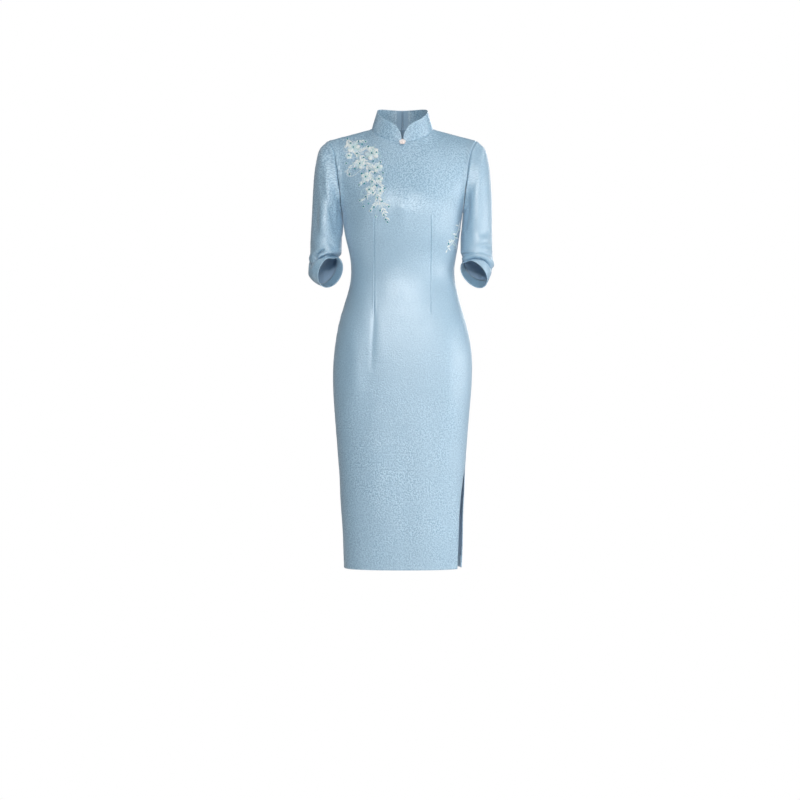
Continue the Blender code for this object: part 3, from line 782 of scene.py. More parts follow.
BACK_CREASES = (
    (((-144, -120), (-118, -158), (-84, -178)), 9, -1.6, 0.3),
    (((146, -124), (120, -150), (88, -172)), 10, -1.5, 0.3),
    (((-112, -296), (-70, -316), (-22, -312)), 9, -1.1, 0.2),
    (((-114, -326), (-72, -342), (-30, -346)), 10, 0.9, 0.1),
    (((114, -302), (76, -318), (28, -310)), 9, -1.0, 0.2),
    (((112, -336), (70, -352), (24, -344)), 10, 0.8, 0.1),
    (((-96, -372), (-60, -384), (-18, -380)), 9, -0.7, 0.1),
    (((98, -380), (62, -390), (22, -384)), 9, -0.7, 0.1),
    (((-104, -610), (-92, -760), (-86, -930)), 16, -1.5, 0.0),
    (((92, -640), (84, -790), (80, -960)), 17, 1.5, 0.0),
    (((-38, -700), (-30, -840), (-32, -1000)), 18, 1.3, 0.0),
    (((40, -660), (36, -800), (40, -980)), 18, -1.2, 0.0),
)


def relax(grid, passes=22):
    """Even out the curve down the body between the hem and the underarm."""
    z = grid[:, grid.shape[1] // 2, 2]
    hold = smooth((z - HEM_Z - 12) / 30) * smooth((UNDERARM_Z - 12 - z) / 30)
    for _ in range(passes):
        mean = 0.5 * (grid[:-2] + grid[2:])
        grid[1:-1, :, :2] += 0.5 * hold[1:-1, None, None] * (mean - grid[1:-1])[..., :2]
    return grid


def panel_surface(coarse, fractions, step, dart_x, dart_z, face):
    """Upsample one panel; a column of points follows each waist dart."""
    t_rows = runs(coarse, 0)
    rows = spaced(t_rows[-1], step, low=(0.5, 1.2, 2.6), high=(0.35, 1.0, 2.4))
    tall = relax(hermite(coarse, t_rows, rows))
    s = np.asarray(fractions, float)
    width = 205.0
    near = np.array([0.35, 1.0, 2.0, 3.4]) / width
    marks = []
    for sign in (-1, 1):
        if sign * s[0 if sign < 0 else -1] > 0.9:
            marks += list(sign * (abs(s[0 if sign < 0 else -1]) - near))
        if (sign < 0 and s[0] < 0) or (sign > 0 and s[-1] > 0.9):
            marks += [sign * DART_SHARE + d / width for d in (0, -.55, .55, -1.3, 1.3, -2.6, 2.6)]
    if s[0] > -0.5:
        marks += list(s[0] + near)
    if s[-1] < 0.5:
        marks += list(s[-1] - near)
    base = np.linspace(s[0], s[-1], int(round((s[-1] - s[0]) * width / step)) + 1)
    marks = np.array(sorted(set(np.round(marks, 6))))
    base = [b for b in base[1:-1] if np.min(np.abs(marks - b)) > 0.3 * step / width]
    cols = np.unique(np.round(np.concatenate([[s[0]], base, marks, [s[-1]]]), 6))
    out = np.empty((len(rows), len(cols), 3))
    dart = np.zeros((len(rows), len(cols)))
    for i, row in enumerate(tall):
        z = row[len(row) // 2, 2]
        zd = np.clip(z, dart_z[0], dart_z[1])
        k = int(np.argmin(np.abs(tall[:, len(row) // 2, 2] - zd)))
        ref = tall[k]
        warped = cols.copy()
        for sign in (-1, 1):
            m = np.sign(s) == sign if (s * sign > 0).any() else None
            if m is None or not m.any():
                continue
            us, xs = np.abs(s[m]), np.abs(ref[m, 0])
            o = np.argsort(xs)
            ud = float(np.interp(dart_x, xs[o], us[o]))
            c = np.sign(cols) == sign
            a = np.abs(cols[c])
            warped[c] = sign * np.where(a < DART_SHARE, a * ud / DART_SHARE,
                                        ud + (a - DART_SHARE) * (1 - ud) / (1 - DART_SHARE))
        warped = np.clip(warped, s[0], s[-1])
        out[i] = hermite(row, s, warped)
        inside = smooth((z - dart_z[0]) / 20) * smooth((dart_z[1] - z) / 16)
        off = (np.abs(cols) - DART_SHARE) * width
        dart[i] = inside * (-1.5 * np.exp(-(off / 0.75) ** 2) + 0.5 * np.exp(-((np.abs(off) - 2.2) / 1.3) ** 2))
    return out, cols, rows, dart


def edge_distance(grid, axis, end):
    g = grid if axis == 0 else grid.swapaxes(0, 1)
    if end:
        g = g[::-1]
    run = np.concatenate([np.zeros((1, g.shape[1])), np.cumsum(np.linalg.norm(np.diff(g, axis=0), axis=-1), axis=0)])
    if end:
        run = run[::-1]
    return run if axis == 0 else run.swapaxes(0, 1)


def seam_roll(d, along, seed, depth=1.0):
    """A seam seen from outside: both edges roll in, with small puckers."""
    pucker = np.sin(along / 5.2 + 2.4 * np.sin(along / 31.0 + seed) + seed) * (
        0.55 + 0.45 * np.sin(along / 47.0 + 2 * seed))
    return (-depth * np.exp(-(d / 0.85) ** 2) + 0.30 * np.exp(-((d - 3.2) / 1.8) ** 2)
            + 0.20 * pucker * np.exp(-(d / 7.5) ** 2))


def build_panel(name, node, coarse, fractions, face, creases, dart_x, dart_z, seam_sides, seed):
    grid, cols, rows, dart = panel_surface(coarse, fractions, 3.5, dart_x, dart_z, face)
    N = normals(grid)
    mid = N[len(N) // 3, N.shape[1] // 2]
    if mid[1] * face < 0:
        N = -N
    lift = dart
    q = grid[..., [0, 2]]
    lift = lift + crease(q, creases)
    lift += 0.45 * lumps(grid * np.array([1, 1, 0.35]), 90.0, seed)
    lift += 0.05 * lumps(grid, 15.0, seed + 5)
    z = grid[..., 2]
    slit = smooth((SLIT_TOP_Z - z) / 14.0)
    for end in (0, 1):
        d = edge_distance(grid, 1, end)
        kind = seam_sides[end]
        closed = 1.0 if kind == "centre" else 1 - slit
        lift += closed * seam_roll(d, edge_distance(grid, 0, 0), seed + end)
        if kind == "side":           # pressed, slightly wavy free edge of the slit
            lift += slit * 0.5 * np.sin(z / 23.0 + seed + 3 * end) * np.exp(-(d / 16.0) ** 2)
    lift += seam_roll(edge_distance(grid, 0, 1), edge_distance(grid, 1, 0), seed + 3)
    hem = edge_distance(grid, 0, 0)
    lift += 0.30 * np.exp(-((hem - 2.5) / 2.5) ** 2) - 0.16 * np.exp(-((hem - 27) / 1.6) ** 2)
    P = grid + N * lift[..., None]
    W = cloth_weights(grid)
    n0 = P.shape[1]
    flags = np.zeros(n0)
    for end in (0, 1):
        P, N, W = turn_in(P, N, W, 1, end, (14, 10, 6, 2.6, 0.9), 1.3)
        add = P.shape[1] - len(flags)
        flags = np.concatenate([[1] * (add - 1) + [0.5], flags] if not end else [flags, [0.5] + [1] * (add - 1)])
    depth = np.where(flags == 1, 0.65, np.where(flags == 0.5, 1.6, 2.5))
    P, N, W = turn_in(P, N, W, 0, 0, (28, 22, 15, 8, 3, 1.0), depth)
    P, N, W = turn_in(P, N, W, 0, 1, (9, 5, 2, 0.8), np.where(flags == 1, 0.65, np.where(flags == 0.5, 1.0, 1.9)))
    flip = False
    test = np.cross(P[40, 31] - P[40, 30], P[41, 30] - P[40, 30])
    if test @ N[40, 30] < 0:
        flip = True
    obj = make_sheet(name, P, W, [OUTER, REVERSE_PAINTED_LIGHT], 0.7, flip=flip)
    finish_piece(obj, node)
    return obj, grid + N_fix(grid, face) * lift[..., None]


def N_fix(grid, face):
    N = normals(grid)
    if N[len(N) // 3, N.shape[1] // 2][1] * face < 0:
        N = -N
    return N


HALF[-1] = 1 - 0.0016
YOKE[-1] = 0.9985


def front_coarse():
    halves = []
    for side in (-1, 1):
        grid = panel_half(side, -1, HALF)
        grid = open_slit(grid, HALF, side)
        halves.append(part_slit(grid, HALF) if side > 0 else grid)
    grid = np.concatenate([halves[0][:, ::-1], halves[1][:, 1:]], axis=1)
    s = np.concatenate([-np.array(HALF[::-1]), np.array(HALF[1:])])
    folds = [f for f in FRONT_FOLDS if "waist_dart" not in f[0]]
    folds += [("w", -66, -215, -63, -440, 13, -1.2), ("w", 66, -215, 63, -440, 13, -1.2)]
    return shape_panel(grid, folds, -1), s


def back_coarse(side):
    fractions = [0.0016, 0.018] + HALF[1:]
    grid = shape_panel(panel_half(side, 1, fractions), BACK_FOLDS, 1)
    s = side * np.array(fractions)
    if side < 0:
        grid, s = grid[:, ::-1], s[::-1]
    return grid, s


def part_slit(grid, fractions):
    """The slit gapes from its very top, where the cloth is pulled apart."""
    out = grid.copy()
    drop = SLIT_TOP_Z - grid[..., 2]
    edge = smooth((np.asarray(fractions)[None, :] - 0.80) / 0.20)
    edge = edge * smooth((drop + 4) / 26.0) * (1 - smooth((drop - 40) / 80.0))
    out[..., 0] -= 3.0 * edge
    out[..., 1] -= 6.0 * edge
    return out


coarse, share = front_coarse()
front, front_surface = build_panel("front_satin", "front_panel", coarse, share, -1, FRONT_CREASES,
                                   FRONT_DART_X, FRONT_DART, ("side", "side"), 1)
backs = []
for side, label in ((-1, "left"), (1, "right")):
    coarse, share = back_coarse(side)
    kinds = ("side", "centre") if side < 0 else ("centre", "side")
    obj, _ = build_panel("back_satin_" + label, "back_panel_" + label, coarse, share, 1, BACK_CREASES,
                         BACK_DART_X, BACK_DART, kinds, 2 + side)
    backs.append(obj)


# ------------------------------------------------------------------ sleeves
def build_sleeve(name, node, side):
    coarse = sleeve_grid(side, around=24)
    # the visible cap starts right at the armhole seam
    coarse[0, :, 0] -= side * 0.75
    pad = 4
    ring = np.concatenate([coarse[:, -pad:], coarse, coarse[:, :pad]], axis=1)
    t_cols = np.arange(-pad, 24 + pad) / 24.0
    per = 290.0
    seam = 0.5
    cols = np.unique(np.round(np.concatenate([
        np.linspace(0, 1, 166)[:-1], seam + np.array([0, -.6, .6, -1.4, 1.4, -2.6, 2.6]) / per]), 5))
    keep = [c for c in cols if abs(c - seam) < 2.8 / per or abs(c - seam) > 4.0 / per]
    cols = np.array(keep)
    wide = hermite(ring.swapaxes(0, 1), t_cols, cols).swapaxes(0, 1)
    t_rows = runs(wide, 0)
    bend = t_rows[-1] - 78.0          # rows lie closer where the arm bends
    rows = spaced(bend, 3.0, low=(0.4, 1.1, 2.2, 3.6))
    rows = np.concatenate([rows[:-1], bend + spaced(78.0, 1.15, high=(0.6,))])
    grid = hermite(wide, t_rows, rows)
    N = normals(grid, wrap=True)
    centre = grid.mean(axis=1, keepdims=True)
    if ((grid - centre) * N).sum() < 0:
        N = -N
    deg = np.degrees(cols * 2 * math.pi)[None, :] * np.ones((len(rows), 1))
    run = np.concatenate([np.zeros((1, grid.shape[1])),
                          np.cumsum(np.linalg.norm(np.diff(grid, axis=0), axis=-1), axis=0)])
    z = grid[..., 2]
    q = np.stack([deg * 0.8, z], axis=-1)          # 0.8 mm of cloth a degree
    q2 = np.stack([(deg - 360) * 0.8, z], axis=-1)
    table = LEFT_SLEEVE if side < 0 else RIGHT_SLEEVE
    lift = crease(q, table) + crease(q2, table)
    ahead = smooth((0.22 - N[..., 1]) / 0.3)
    lift += ahead * crease(grid[..., [0, 2]], LEFT_ELBOW if side < 0 else RIGHT_ELBOW)
    lift += 0.8 * lumps(grid * np.array([1, 1, 0.5]), 44.0, 21 + side)
    lift += 0.08 * lumps(grid, 13.0, 27 + side)
    # eased sleeve head over the armhole seam
    head = edge_distance(grid, 0, 0)
    lift += seam_roll(head, deg * 0.8, 4.0 + side, 0.9)
    lift += 0.9 * np.exp(-((head - 5.0) / 3.4) ** 2) * smooth((np.cos(np.radians(deg)) + 0.55) / 0.6)
    # underarm seam
    off = (cols - seam)[None, :] * per
    lift += -0.8 * np.exp(-(off / 0.7) ** 2) + 0.25 * np.exp(-((np.abs(off) - 2.4) / 1.3) ** 2)
    tail = edge_distance(grid, 0, 1)
    lift += -0.18 * np.exp(-((tail - 24) / 1.5) ** 2)
    more, slip = tuck(grid, N, grid[..., [0, 2]], LEFT_TUCKS if side < 0 else RIGHT_TUCKS, ahead)
    P = grid + N * (lift + more)[..., None] + slip
    level = int(np.argmin(np.abs(rows - t_rows[7])))
    W = sleeve_weights(grid, cols, level)
    P, N, W = turn_in(P, N, W, 0, 1, (26, 20, 13, 6, 2, 0.8), 1.3)
    P, N, W = turn_in(P, N, W, 0, 0, (7, 4, 1.6, 0.7), 1.3)
    flip = np.cross(P[40, 31] - P[40, 30], P[41, 30] - P[40, 30]) @ N[40, 30] < 0
    obj = make_sheet(name, P, W, [OUTER, REVERSE_PAINTED_LIGHT], 0.7, wrap=True, flip=bool(flip))
    finish_piece(obj, node)
    return obj


# angle round the sleeve (0 outside, 90 front, 180 inside) x 0.8, height
LEFT_SLEEVE = (
    (((136, -196), (146, -222), (146, -248)), 13, 3.0, 0.0),
    (((44, -66), (52, -130), (66, -196)), 8, -2.6, 0.3),
    (((60, -92), (72, -150), (84, -214)), 6, 2.4, 0.2),
    (((98, -100), (112, -150), (118, -236)), 7, -3.6, 0.5),
    (((40, -150), (34, -200), (46, -252)), 9, -2.2, 0.0),
    (((56, -196), (62, -226), (70, -250)), 9, 2.2, 0.0),
    (((250, -100), (238, -150), (226, -210)), 8, -2.4, 0.3),
    (((222, -80), (214, -140), (206, -200)), 9, 2.2, 0.0),
    (((262, -250), (240, -276), (214, -292)), 7, -2.0, 0.3),
    (((268, -300), (244, -318), (222, -330)), 7, 1.6, 0.0),
)
RIGHT_SLEEVE = (
    (((48, -70), (56, -140), (64, -210)), 11, -1.6, 0.2),
    (((92, -110), (104, -160), (112, -236)), 7, -3.2, 0.5),
    (((26, -226), (44, -240), (66, -248)), 7, -1.8, 0.2),
    (((246, -96), (236, -150), (222, -206)), 8, -2.3, 0.3),
    (((220, -90), (212, -150), (204, -206)), 9, 2.0, 0.0),
    (((258, -256), (238, -280), (212, -290)), 7, -2.0, 0.3),
)

# folds where the arm bends, in the front view (x, z): two troughs with rolls
# of cloth between and above them
LEFT_ELBOW = (
    (((-172, -258), (-162, -270), (-152, -280)), 5.0, -2.4, 0.3),
    (((-176, -152), (-167, -185), (-158, -212), (-149, -246)), 5.5, -4.2, 0.3),
    (((-186, -166), (-182, -205), (-180, -256)), 8.0, 2.8, 0.0),
    (((-162, -118), (-160, -150), (-157, -182)), 5.0, 2.4, 0.0),
    (((-196, -120), (-199, -170), (-197, -230)), 7.0, -2.2, 0.2),
)
RIGHT_ELBOW = (
    (((168, -278), (180, -272), (192, -270), (203, -273)), 3.6, -2.6, 0.3),
    (((206, -286), (196, -281), (184, -280)), 4.0, 2.0, 0.0),
    (((151, -132), (148, -180), (141, -240)), 4.5, -4.5, 0.3),
    (((164, -130), (160, -185), (154, -240)), 6.0, 1.8, 0.0),
    (((196, -140), (198, -190), (196, -246)), 9.0, 1.6, 0.0),
)

LEFT_TUCKS = (
    (((-226, -326), (-215, -308), (-204, -294), (-192, -284), (-178, -279)), 3.0, 14.0, 3.4, 4.0),
    (((-226, -340), (-215, -320), (-206, -307), (-195, -297), (-177, -291.5), (-160, -291), (-140, -294)), 2.4, 11.0, 3.0, 3.6),
)
RIGHT_TUCKS = (
    (((132, -306), (147, -300), (163, -297), (178, -298), (191, -302), (202, -312), (210, -328)), 2.6, 13.0, 3.0, 3.8),
)

sleeves = [build_sleeve("sleeve_satin_" + label, "sleeve_" + label, side)
           for side, label in ((-1, "left"), (1, "right"))]


# ------------------------------------------------------------------- collar
def collar_surface(side, columns, levels):
    """Points of one collar half: from its front edge round to centre back."""
    first = math.asin(COLLAR_SLIT / 2 / NECK_HALF_WIDTH)
    last = math.pi - math.asin(0.12 / NECK_HALF_WIDTH)
    full = COLLAR_RISE + 2.0
    dense = np.linspace(0, 1, 600)
    foot = np.array([neck_point(first + (last - first) * t, side) for t in dense])
    run = np.concatenate([[0], np.cumsum(np.linalg.norm(np.diff(foot, axis=0), axis=1))])
    grid = []
    for s in columns(run[-1]):
        t = float(np.interp(s, run, dense))
        angle = first + (last - first) * t
        base = neck_point(angle, side)
        top = np.array([side * COLLAR_TOP_HALF_WIDTH * math.sin(angle),
                        NECK_Y - 1 - COLLAR_TOP_DEPTH * math.cos(angle), base[2] + COLLAR_RISE])
        share = collar_height(s) / full
        grid.append([base + (top - base) * share * k for k in levels])
    return np.array(grid)


def build_collar(name, node, side):
    def columns(total):
        near = [0, .4, 1.2, 2.4, 4, 6, 8.5, 11.5]
        return np.array(near + list(np.linspace(15, total, 62)))
    levels = np.array([0.004, .03, .07, .13, .2, .28, .37, .46, .55, .64, .73, .81, .88, .94, .975, 1.0])
    grid = collar_surface(side, columns, levels)
    N = normals(grid)
    out = grid - np.array([0, NECK_Y, 0])
    out[..., 2] = 0
    if (out * N).sum() < 0:
        N = -N
    lift = 0.25 * lumps(grid, 22.0, 31 + side)
    low = edge_distance(grid, 1, 0)
    lift += -0.7 * np.exp(-(low / 1.0) ** 2)
    P = grid + N * lift[..., None]
    W = cloth_weights(grid)
    # the lower edge is tucked behind the neckline, and further out under the
    # corner where the shoulder seam meets it
    top = front_surface[-1]
    corner = top[np.argmax(np.where(top[:, 0] * side > 0, top[:, 2], -1e9))]
    near = np.exp(-((P[:, 0, 1] - corner[1]) / 5.5) ** 2)[:, None]
    up = P[:, 3] - P[:, 0]
    up /= np.linalg.norm(up, axis=-1, keepdims=True)
    foot = P[:, 0] - (1.5 + 2.0 * near) * up + (5.4 * near - 1.3) * N[:, 0]
    P = np.concatenate([foot[:, None], P], axis=1)
    N = np.concatenate([N[:, :1], N], axis=1)
    below = W[:, :1].copy()
    below[..., 1] -= 1.8
    W = np.concatenate([below, W], axis=1)
    flip = np.cross(P[20, 6] - P[20, 5], P[21, 5] - P[20, 5]) @ N[20, 5] < 0
    obj = make_sheet(name, P, W, [OUTER, OUTER], 1.7, flip=bool(flip))
    soft = obj.modifiers.new("edge", "BEVEL")
    soft.width = 0.55 * MM
    soft.segments = 2
    soft.limit_method = "ANGLE"
    soft.angle_limit = math.radians(50)
    finish_piece(obj, node)
    return obj, P


collars = []
for side, label in ((-1, "left"), (1, "right")):
    obj, P = build_collar("collar_satin_" + label, "collar_" + label, side)
    collars.append((obj, P))

# ------------------------------------------------------------------ closing
def plain(name, deep, light, rough, metal=0.0, scale=350.0, bump=0.02, coat=0.0):
    """A smooth hard finish with a slight unevenness."""
    mat = bpy.data.materials.new(name)
    tree, bsdf = nodes_of(mat)
    w = Wires(tree)
    place = w.node("ShaderNodeTexCoord").outputs["Object"]
    cloud = w.spread(w.noise(place, scale, 3.0).outputs["Fac"], 0.3, 0.7, 0.0, 1.0)
    w.join(w.blend(cloud, (*deep, 1), (*light, 1)), bsdf.inputs["Base Color"])
    w.join(w.spread(cloud, 0, 1, rough + 0.06, rough - 0.04), bsdf.inputs["Roughness"])
    b = w.node("ShaderNodeBump")
    b.inputs["Strength"].default_value = bump
    b.inputs["Distance"].default_value = 0.0003
    w.join(cloud, b.inputs["Height"])
    w.join(b.outputs[0], bsdf.inputs["Normal"])
    bsdf.inputs["Metallic"].default_value = metal
    bsdf.inputs["Coat Weight"].default_value = coat
    bsdf.inputs["Coat Roughness"].default_value = 0.08
    return mat


PEARL = plain("pearl", (0.80, 0.66, 0.62), (0.90, 0.84, 0.81), 0.24, scale=160.0, coat=0.5)
ENAMEL = plain("zip_enamel", (0.290, 0.440, 0.570), (0.340, 0.500, 0.630), 0.34, coat=0.3)
NYLON = plain("zip_nylon", (0.300, 0.450, 0.580), (0.380, 0.540, 0.670), 0.45)


def tape_material():
    """Narrow twill tape with a herringbone of fine threads."""
    mat = bpy.data.materials.new("zip_tape")
    tree, bsdf = nodes_of(mat)
    w = Wires(tree)
    place = w.node("ShaderNodeSeparateXYZ")
    w.join(w.node("ShaderNodeTexCoord").outputs["Object"], place.inputs[0])
    fold = w.math("PINGPONG", place.outputs[0], 0.002)
    ribs = w.math("SINE", w.math("MULTIPLY", w.math("ADD", place.outputs[2], fold), 2 * math.pi / 0.0009))
    level = w.math("ADD", w.math("MULTIPLY", ribs, 0.5), 0.5)
    w.join(w.blend(level, (0.250, 0.395, 0.535, 1), (0.350, 0.505, 0.640, 1)), bsdf.inputs["Base Color"])
    b = w.node("ShaderNodeBump")
    b.inputs["Strength"].default_value = 0.5
    b.inputs["Distance"].default_value = 0.00015
    w.join(level, b.inputs["Height"])
    w.join(b.outputs[0], bsdf.inputs["Normal"])
    bsdf.inputs["Roughness"].default_value = 0.75
    bsdf.inputs["Sheen Weight"].default_value = 0.3
    return mat


TAPE = tape_material()


def solid_from(name, points, faces, mats, smoothed=True):
    mesh = bpy.data.meshes.new(name)
    mesh.from_pydata([tuple(p) for p in points], [], faces)
    mesh.update()
    if smoothed:
        mesh.shade_smooth()
    for m in mats:
        mesh.materials.append(m)
    obj = bpy.data.objects.new(name, mesh)
    bpy.context.scene.collection.objects.link(obj)
    return obj


def pearl_flower():
    """Five cupped round petals round a bead, on the frame of the button."""
    points, faces = [], []
    place = (Matrix.Translation(Vector(FLOWER_AT) * MM)
             @ Matrix.Rotation(math.radians(-FLOWER_TILT), 4, "X"))
    for k in range(5):
        a = math.radians(90 + 72 * k)
        cx, cz = 4.35 * math.cos(a), 4.35 * math.sin(a)
        base = len(points)
        rings, sides = 7, 28
        for face in (0, 1):
            for i in range(rings + 1):
                r = 3.35 * math.sin(0.5 * math.pi * i / rings)
                for j in range(sides):
                    t = 2 * math.pi * j / sides
                    px, pz = cx + r * math.cos(t + a), cz + r * math.sin(t + a)
                    share = r / 3.35
                    cup = 0.55 * share**2 + 0.35 * math.cos(t) * share
                    wall = 0.62 * math.sqrt(max(1 - share**4, 0.0))
                    y = -(0.35 + cup + 0.04 * k + (wall if face == 0 else -wall))
                    points.append(place @ (Vector((px, y, pz)) * MM))
        n = (rings + 1) * sides
        for i in range(rings):
            for j in range(sides):
                q = [i * sides + j, i * sides + (j + 1) % sides, (i + 1) * sides + (j + 1) % sides, (i + 1) * sides + j]
                faces.append([base + v for v in q])
                faces.append([base + n + v for v in q[::-1]])
    made = bmesh.new()
    bmesh.ops.create_uvsphere(made, u_segments=24, v_segments=14, radius=2.15 * MM)
    base = len(points)
    points += [place @ (v.co + Vector((0, -1.35 * MM, 0))) for v in made.verts]
    faces += [[base + v.index for v in f.verts] for f in made.faces]
    made.free()
    obj = solid_from("pearl_flower", points, faces, [PEARL])
    made = bmesh.new()
    made.from_mesh(obj.data)
    bmesh.ops.remove_doubles(made, verts=made.verts, dist=0.00002)
    bmesh.ops.recalc_face_normals(made, faces=made.faces)
    made.to_mesh(obj.data)
    made.free()
    return finish_piece(obj, "flower_button", "pearl")


button = pearl_flower()
for n, m in (("zip_slider", ENAMEL), ("zip_tab", ENAMEL)):
    o = frame["nodes"].get(n) if isinstance(frame["nodes"], dict) else None
    o = o or bpy.data.objects.get(n)
    if o is not None and getattr(o, "data", None):
        o.data.materials.clear()
        o.data.materials.append(m)


# hidden zip: two tapes inside the centre back edges and a coil between them
def back_line(z):
    """The depth of the inside of the centre back at a height, in mm."""
    hits = []
    for dx in (-3.0, 3.0):
        hit, n, _, _ = BACKS.ray_cast(Vector((dx * MM, -0.02, z * MM)), Vector((0, 1, 0)))
        if hit is not None:
            hits.append((hit, n))
    if not hits:
        return None
    y = min(h.y for h, _ in hits) / MM
    return y


def strip(name, side, path, lo, hi, thick, mat):
    """A tape along the centre back, from lo to hi mm off the middle."""
    points, faces = [], []
    for y, z in path:
        for x in (lo, hi):
            for d in (0.0, -thick):
                points.append(Vector((side * x, y + d, z)) * MM)
    for i in range(len(path) - 1):
        a, b = 4 * i, 4 * i + 4
        for q in ((0, 2, 3, 1),):
            pass
        ring = (0, 1, 3, 2)
        for j in range(4):
            p, r = ring[j], ring[(j + 1) % 4]
            faces.append([a + p, a + r, b + r, b + p])
    last = 4 * (len(path) - 1)
    faces += [[0, 2, 3, 1], [last + 0, last + 1, last + 3, last + 2]]
    obj = solid_from(name, points, faces, [mat], smoothed=False)
    made = bmesh.new()
    made.from_mesh(obj.data)
    bmesh.ops.recalc_face_normals(made, faces=made.faces)
    made.to_mesh(obj.data)
    made.free()
    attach(obj, "dress")
    return obj


bpy.context.view_layer.update()
deps = bpy.context.evaluated_depsgraph_get()
inner = bmesh.new()
for o in [*backs, *[c[0] for c in collars]]:
    e = o.evaluated_get(deps)
    m = e.to_mesh()
    inner.from_mesh(m)
    e.to_mesh_clear()
BACKS = BVHTree.FromBMesh(inner)
inner.free()
ZIP_FOOT = -540.0
ZIP_HEAD = float(collars[0][1][-1, -1, 2]) - 1.2
heights = np.concatenate([np.arange(ZIP_FOOT, -6.0, 9.0), np.linspace(-4.0, ZIP_HEAD, 9)])
spine = [(back_line(float(z)), float(z)) for z in heights]
spine = [(y, z) for y, z in spine if y is not None]
if len(spine) > 4:
    ys = np.array([p[0] for p in spine])
    zs = np.array([p[1] for p in spine])
    for _ in range(3):
        ys[1:-1] = np.minimum(ys[1:-1], 0.25 * ys[:-2] + 0.5 * ys[1:-1] + 0.25 * ys[2:])
    path = list(zip(ys - 0.9, zs))
    for side, label in ((-1, "left"), (1, "right")):
        strip("zip_tape_" + label, side, path, 0.10, 13.0, 0.5, TAPE)
    # coil: one turn of nylon thread every 1.3 mm, as flat loops
    points, faces = [], []
    z, k = ZIP_FOOT + 2.0, 0
    while z < ZIP_HEAD - 1.5:
        y = float(np.interp(z, zs, ys)) - 1.9
        sides, loop = 5, 10
        base = len(points)
        for i in range(loop):
            t = 2 * math.pi * i / loop
            c = Vector((2.3 * math.cos(t), y + 0.75 * math.sin(t), z + 0.35 * math.cos(t) * (1 if k % 2 else -1)))
            out = Vector((math.cos(t), math.sin(t), 0)).normalized()
            for j in range(sides):
                u = 2 * math.pi * j / sides
                points.append((c + out * (0.30 * math.cos(u)) + Vector((0, 0, 0.30 * math.sin(u)))) * MM)
        for i in range(loop):
            for j in range(sides):
                faces.append([base + i * sides + j, base + ((i + 1) % loop) * sides + j,
                              base + ((i + 1) % loop) * sides + (j + 1) % sides, base + i * sides + (j + 1) % sides])
        z += 1.3
        k += 1
    coil = solid_from("zip_coil", points, faces, [NYLON])
    made = bmesh.new()
    made.from_mesh(coil.data)
    bmesh.ops.recalc_face_normals(made, faces=made.faces)
    made.to_mesh(coil.data)
    made.free()
    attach(coil, "dress")

# --------------------------------------------------------------- embroidery
# A spray in satin stitch on the wearer's right breast and a small one at the
# left waist: blossoms, leaves and curled tendrils, with glass beads. Sizes in
# mm, in the front view.
rng = random.Random(41)
bpy.context.view_layer.update()
CLOTH = BVHTree.FromObject(front, bpy.context.evaluated_depsgraph_get())


def thread(name, deep, light, rough=0.42):
    """Rayon thread laid side by side, with the stitches showing as fine ribs."""
    mat = bpy.data.materials.new(name)
    tree, bsdf = nodes_of(mat)
    w = Wires(tree)
    uv = w.node("ShaderNodeUVMap", uv_map="cloth").outputs[0]
    sep = w.node("ShaderNodeSeparateXYZ")
    w.join(uv, sep.inputs[0])
    stray = w.noise(uv, 900.0, 2.0).outputs["Fac"]
    across = w.math("ADD", w.math("MULTIPLY", sep.outputs[0], 2 * math.pi / 0.00055),
                    w.math("MULTIPLY", stray, 2.6))
    rib = w.math("ADD", w.math("MULTIPLY", w.math("SINE", across), 0.5), 0.5)
    patchy = w.spread(w.noise(uv, 260.0, 2.0).outputs["Fac"], 0.3, 0.7, 0.0, 1.0)
    tone = w.blend(w.math("ADD", w.math("MULTIPLY", rib, 0.55), w.math("MULTIPLY", patchy, 0.45)),
                   (*deep, 1), (*light, 1))
    w.join(tone, bsdf.inputs["Base Color"])
    w.join(w.spread(rib, 0, 1, rough + 0.12, rough - 0.06), bsdf.inputs["Roughness"])
    bump = w.node("ShaderNodeBump")
    bump.inputs["Strength"].default_value = 0.5
    bump.inputs["Distance"].default_value = 0.00012
    w.join(rib, bump.inputs["Height"])
    w.join(bump.outputs[0], bsdf.inputs["Normal"])
    bsdf.inputs["Sheen Weight"].default_value = 0.4
    bsdf.inputs["Sheen Roughness"].default_value = 0.4
    return mat


def glass_bead():
    mat = bpy.data.materials.new("teal_glass")
    tree, bsdf = nodes_of(mat)
    w = Wires(tree)
    place = w.node("ShaderNodeTexCoord").outputs["Object"]
    cloud = w.spread(w.noise(place, 600.0, 2.0).outputs["Fac"], 0.3, 0.7, 0.0, 1.0)
    w.join(w.blend(cloud, (0.012, 0.200, 0.240, 1), (0.035, 0.340, 0.380, 1)), bsdf.inputs["Base Color"])
    bsdf.inputs["Roughness"].default_value = 0.10
    bsdf.inputs["Coat Weight"].default_value = 0.6
    bsdf.inputs["Coat Roughness"].default_value = 0.04
    return mat


WHITE_THREAD = thread("white_thread", (0.700, 0.790, 0.800), (0.950, 0.970, 0.960))
MINT_THREAD = thread("mint_thread", (0.400, 0.600, 0.630), (0.640, 0.800, 0.800))
PALE_THREAD = thread("pale_blue_thread", (0.480, 0.640, 0.740), (0.720, 0.830, 0.890))
BEAD = glass_bead()


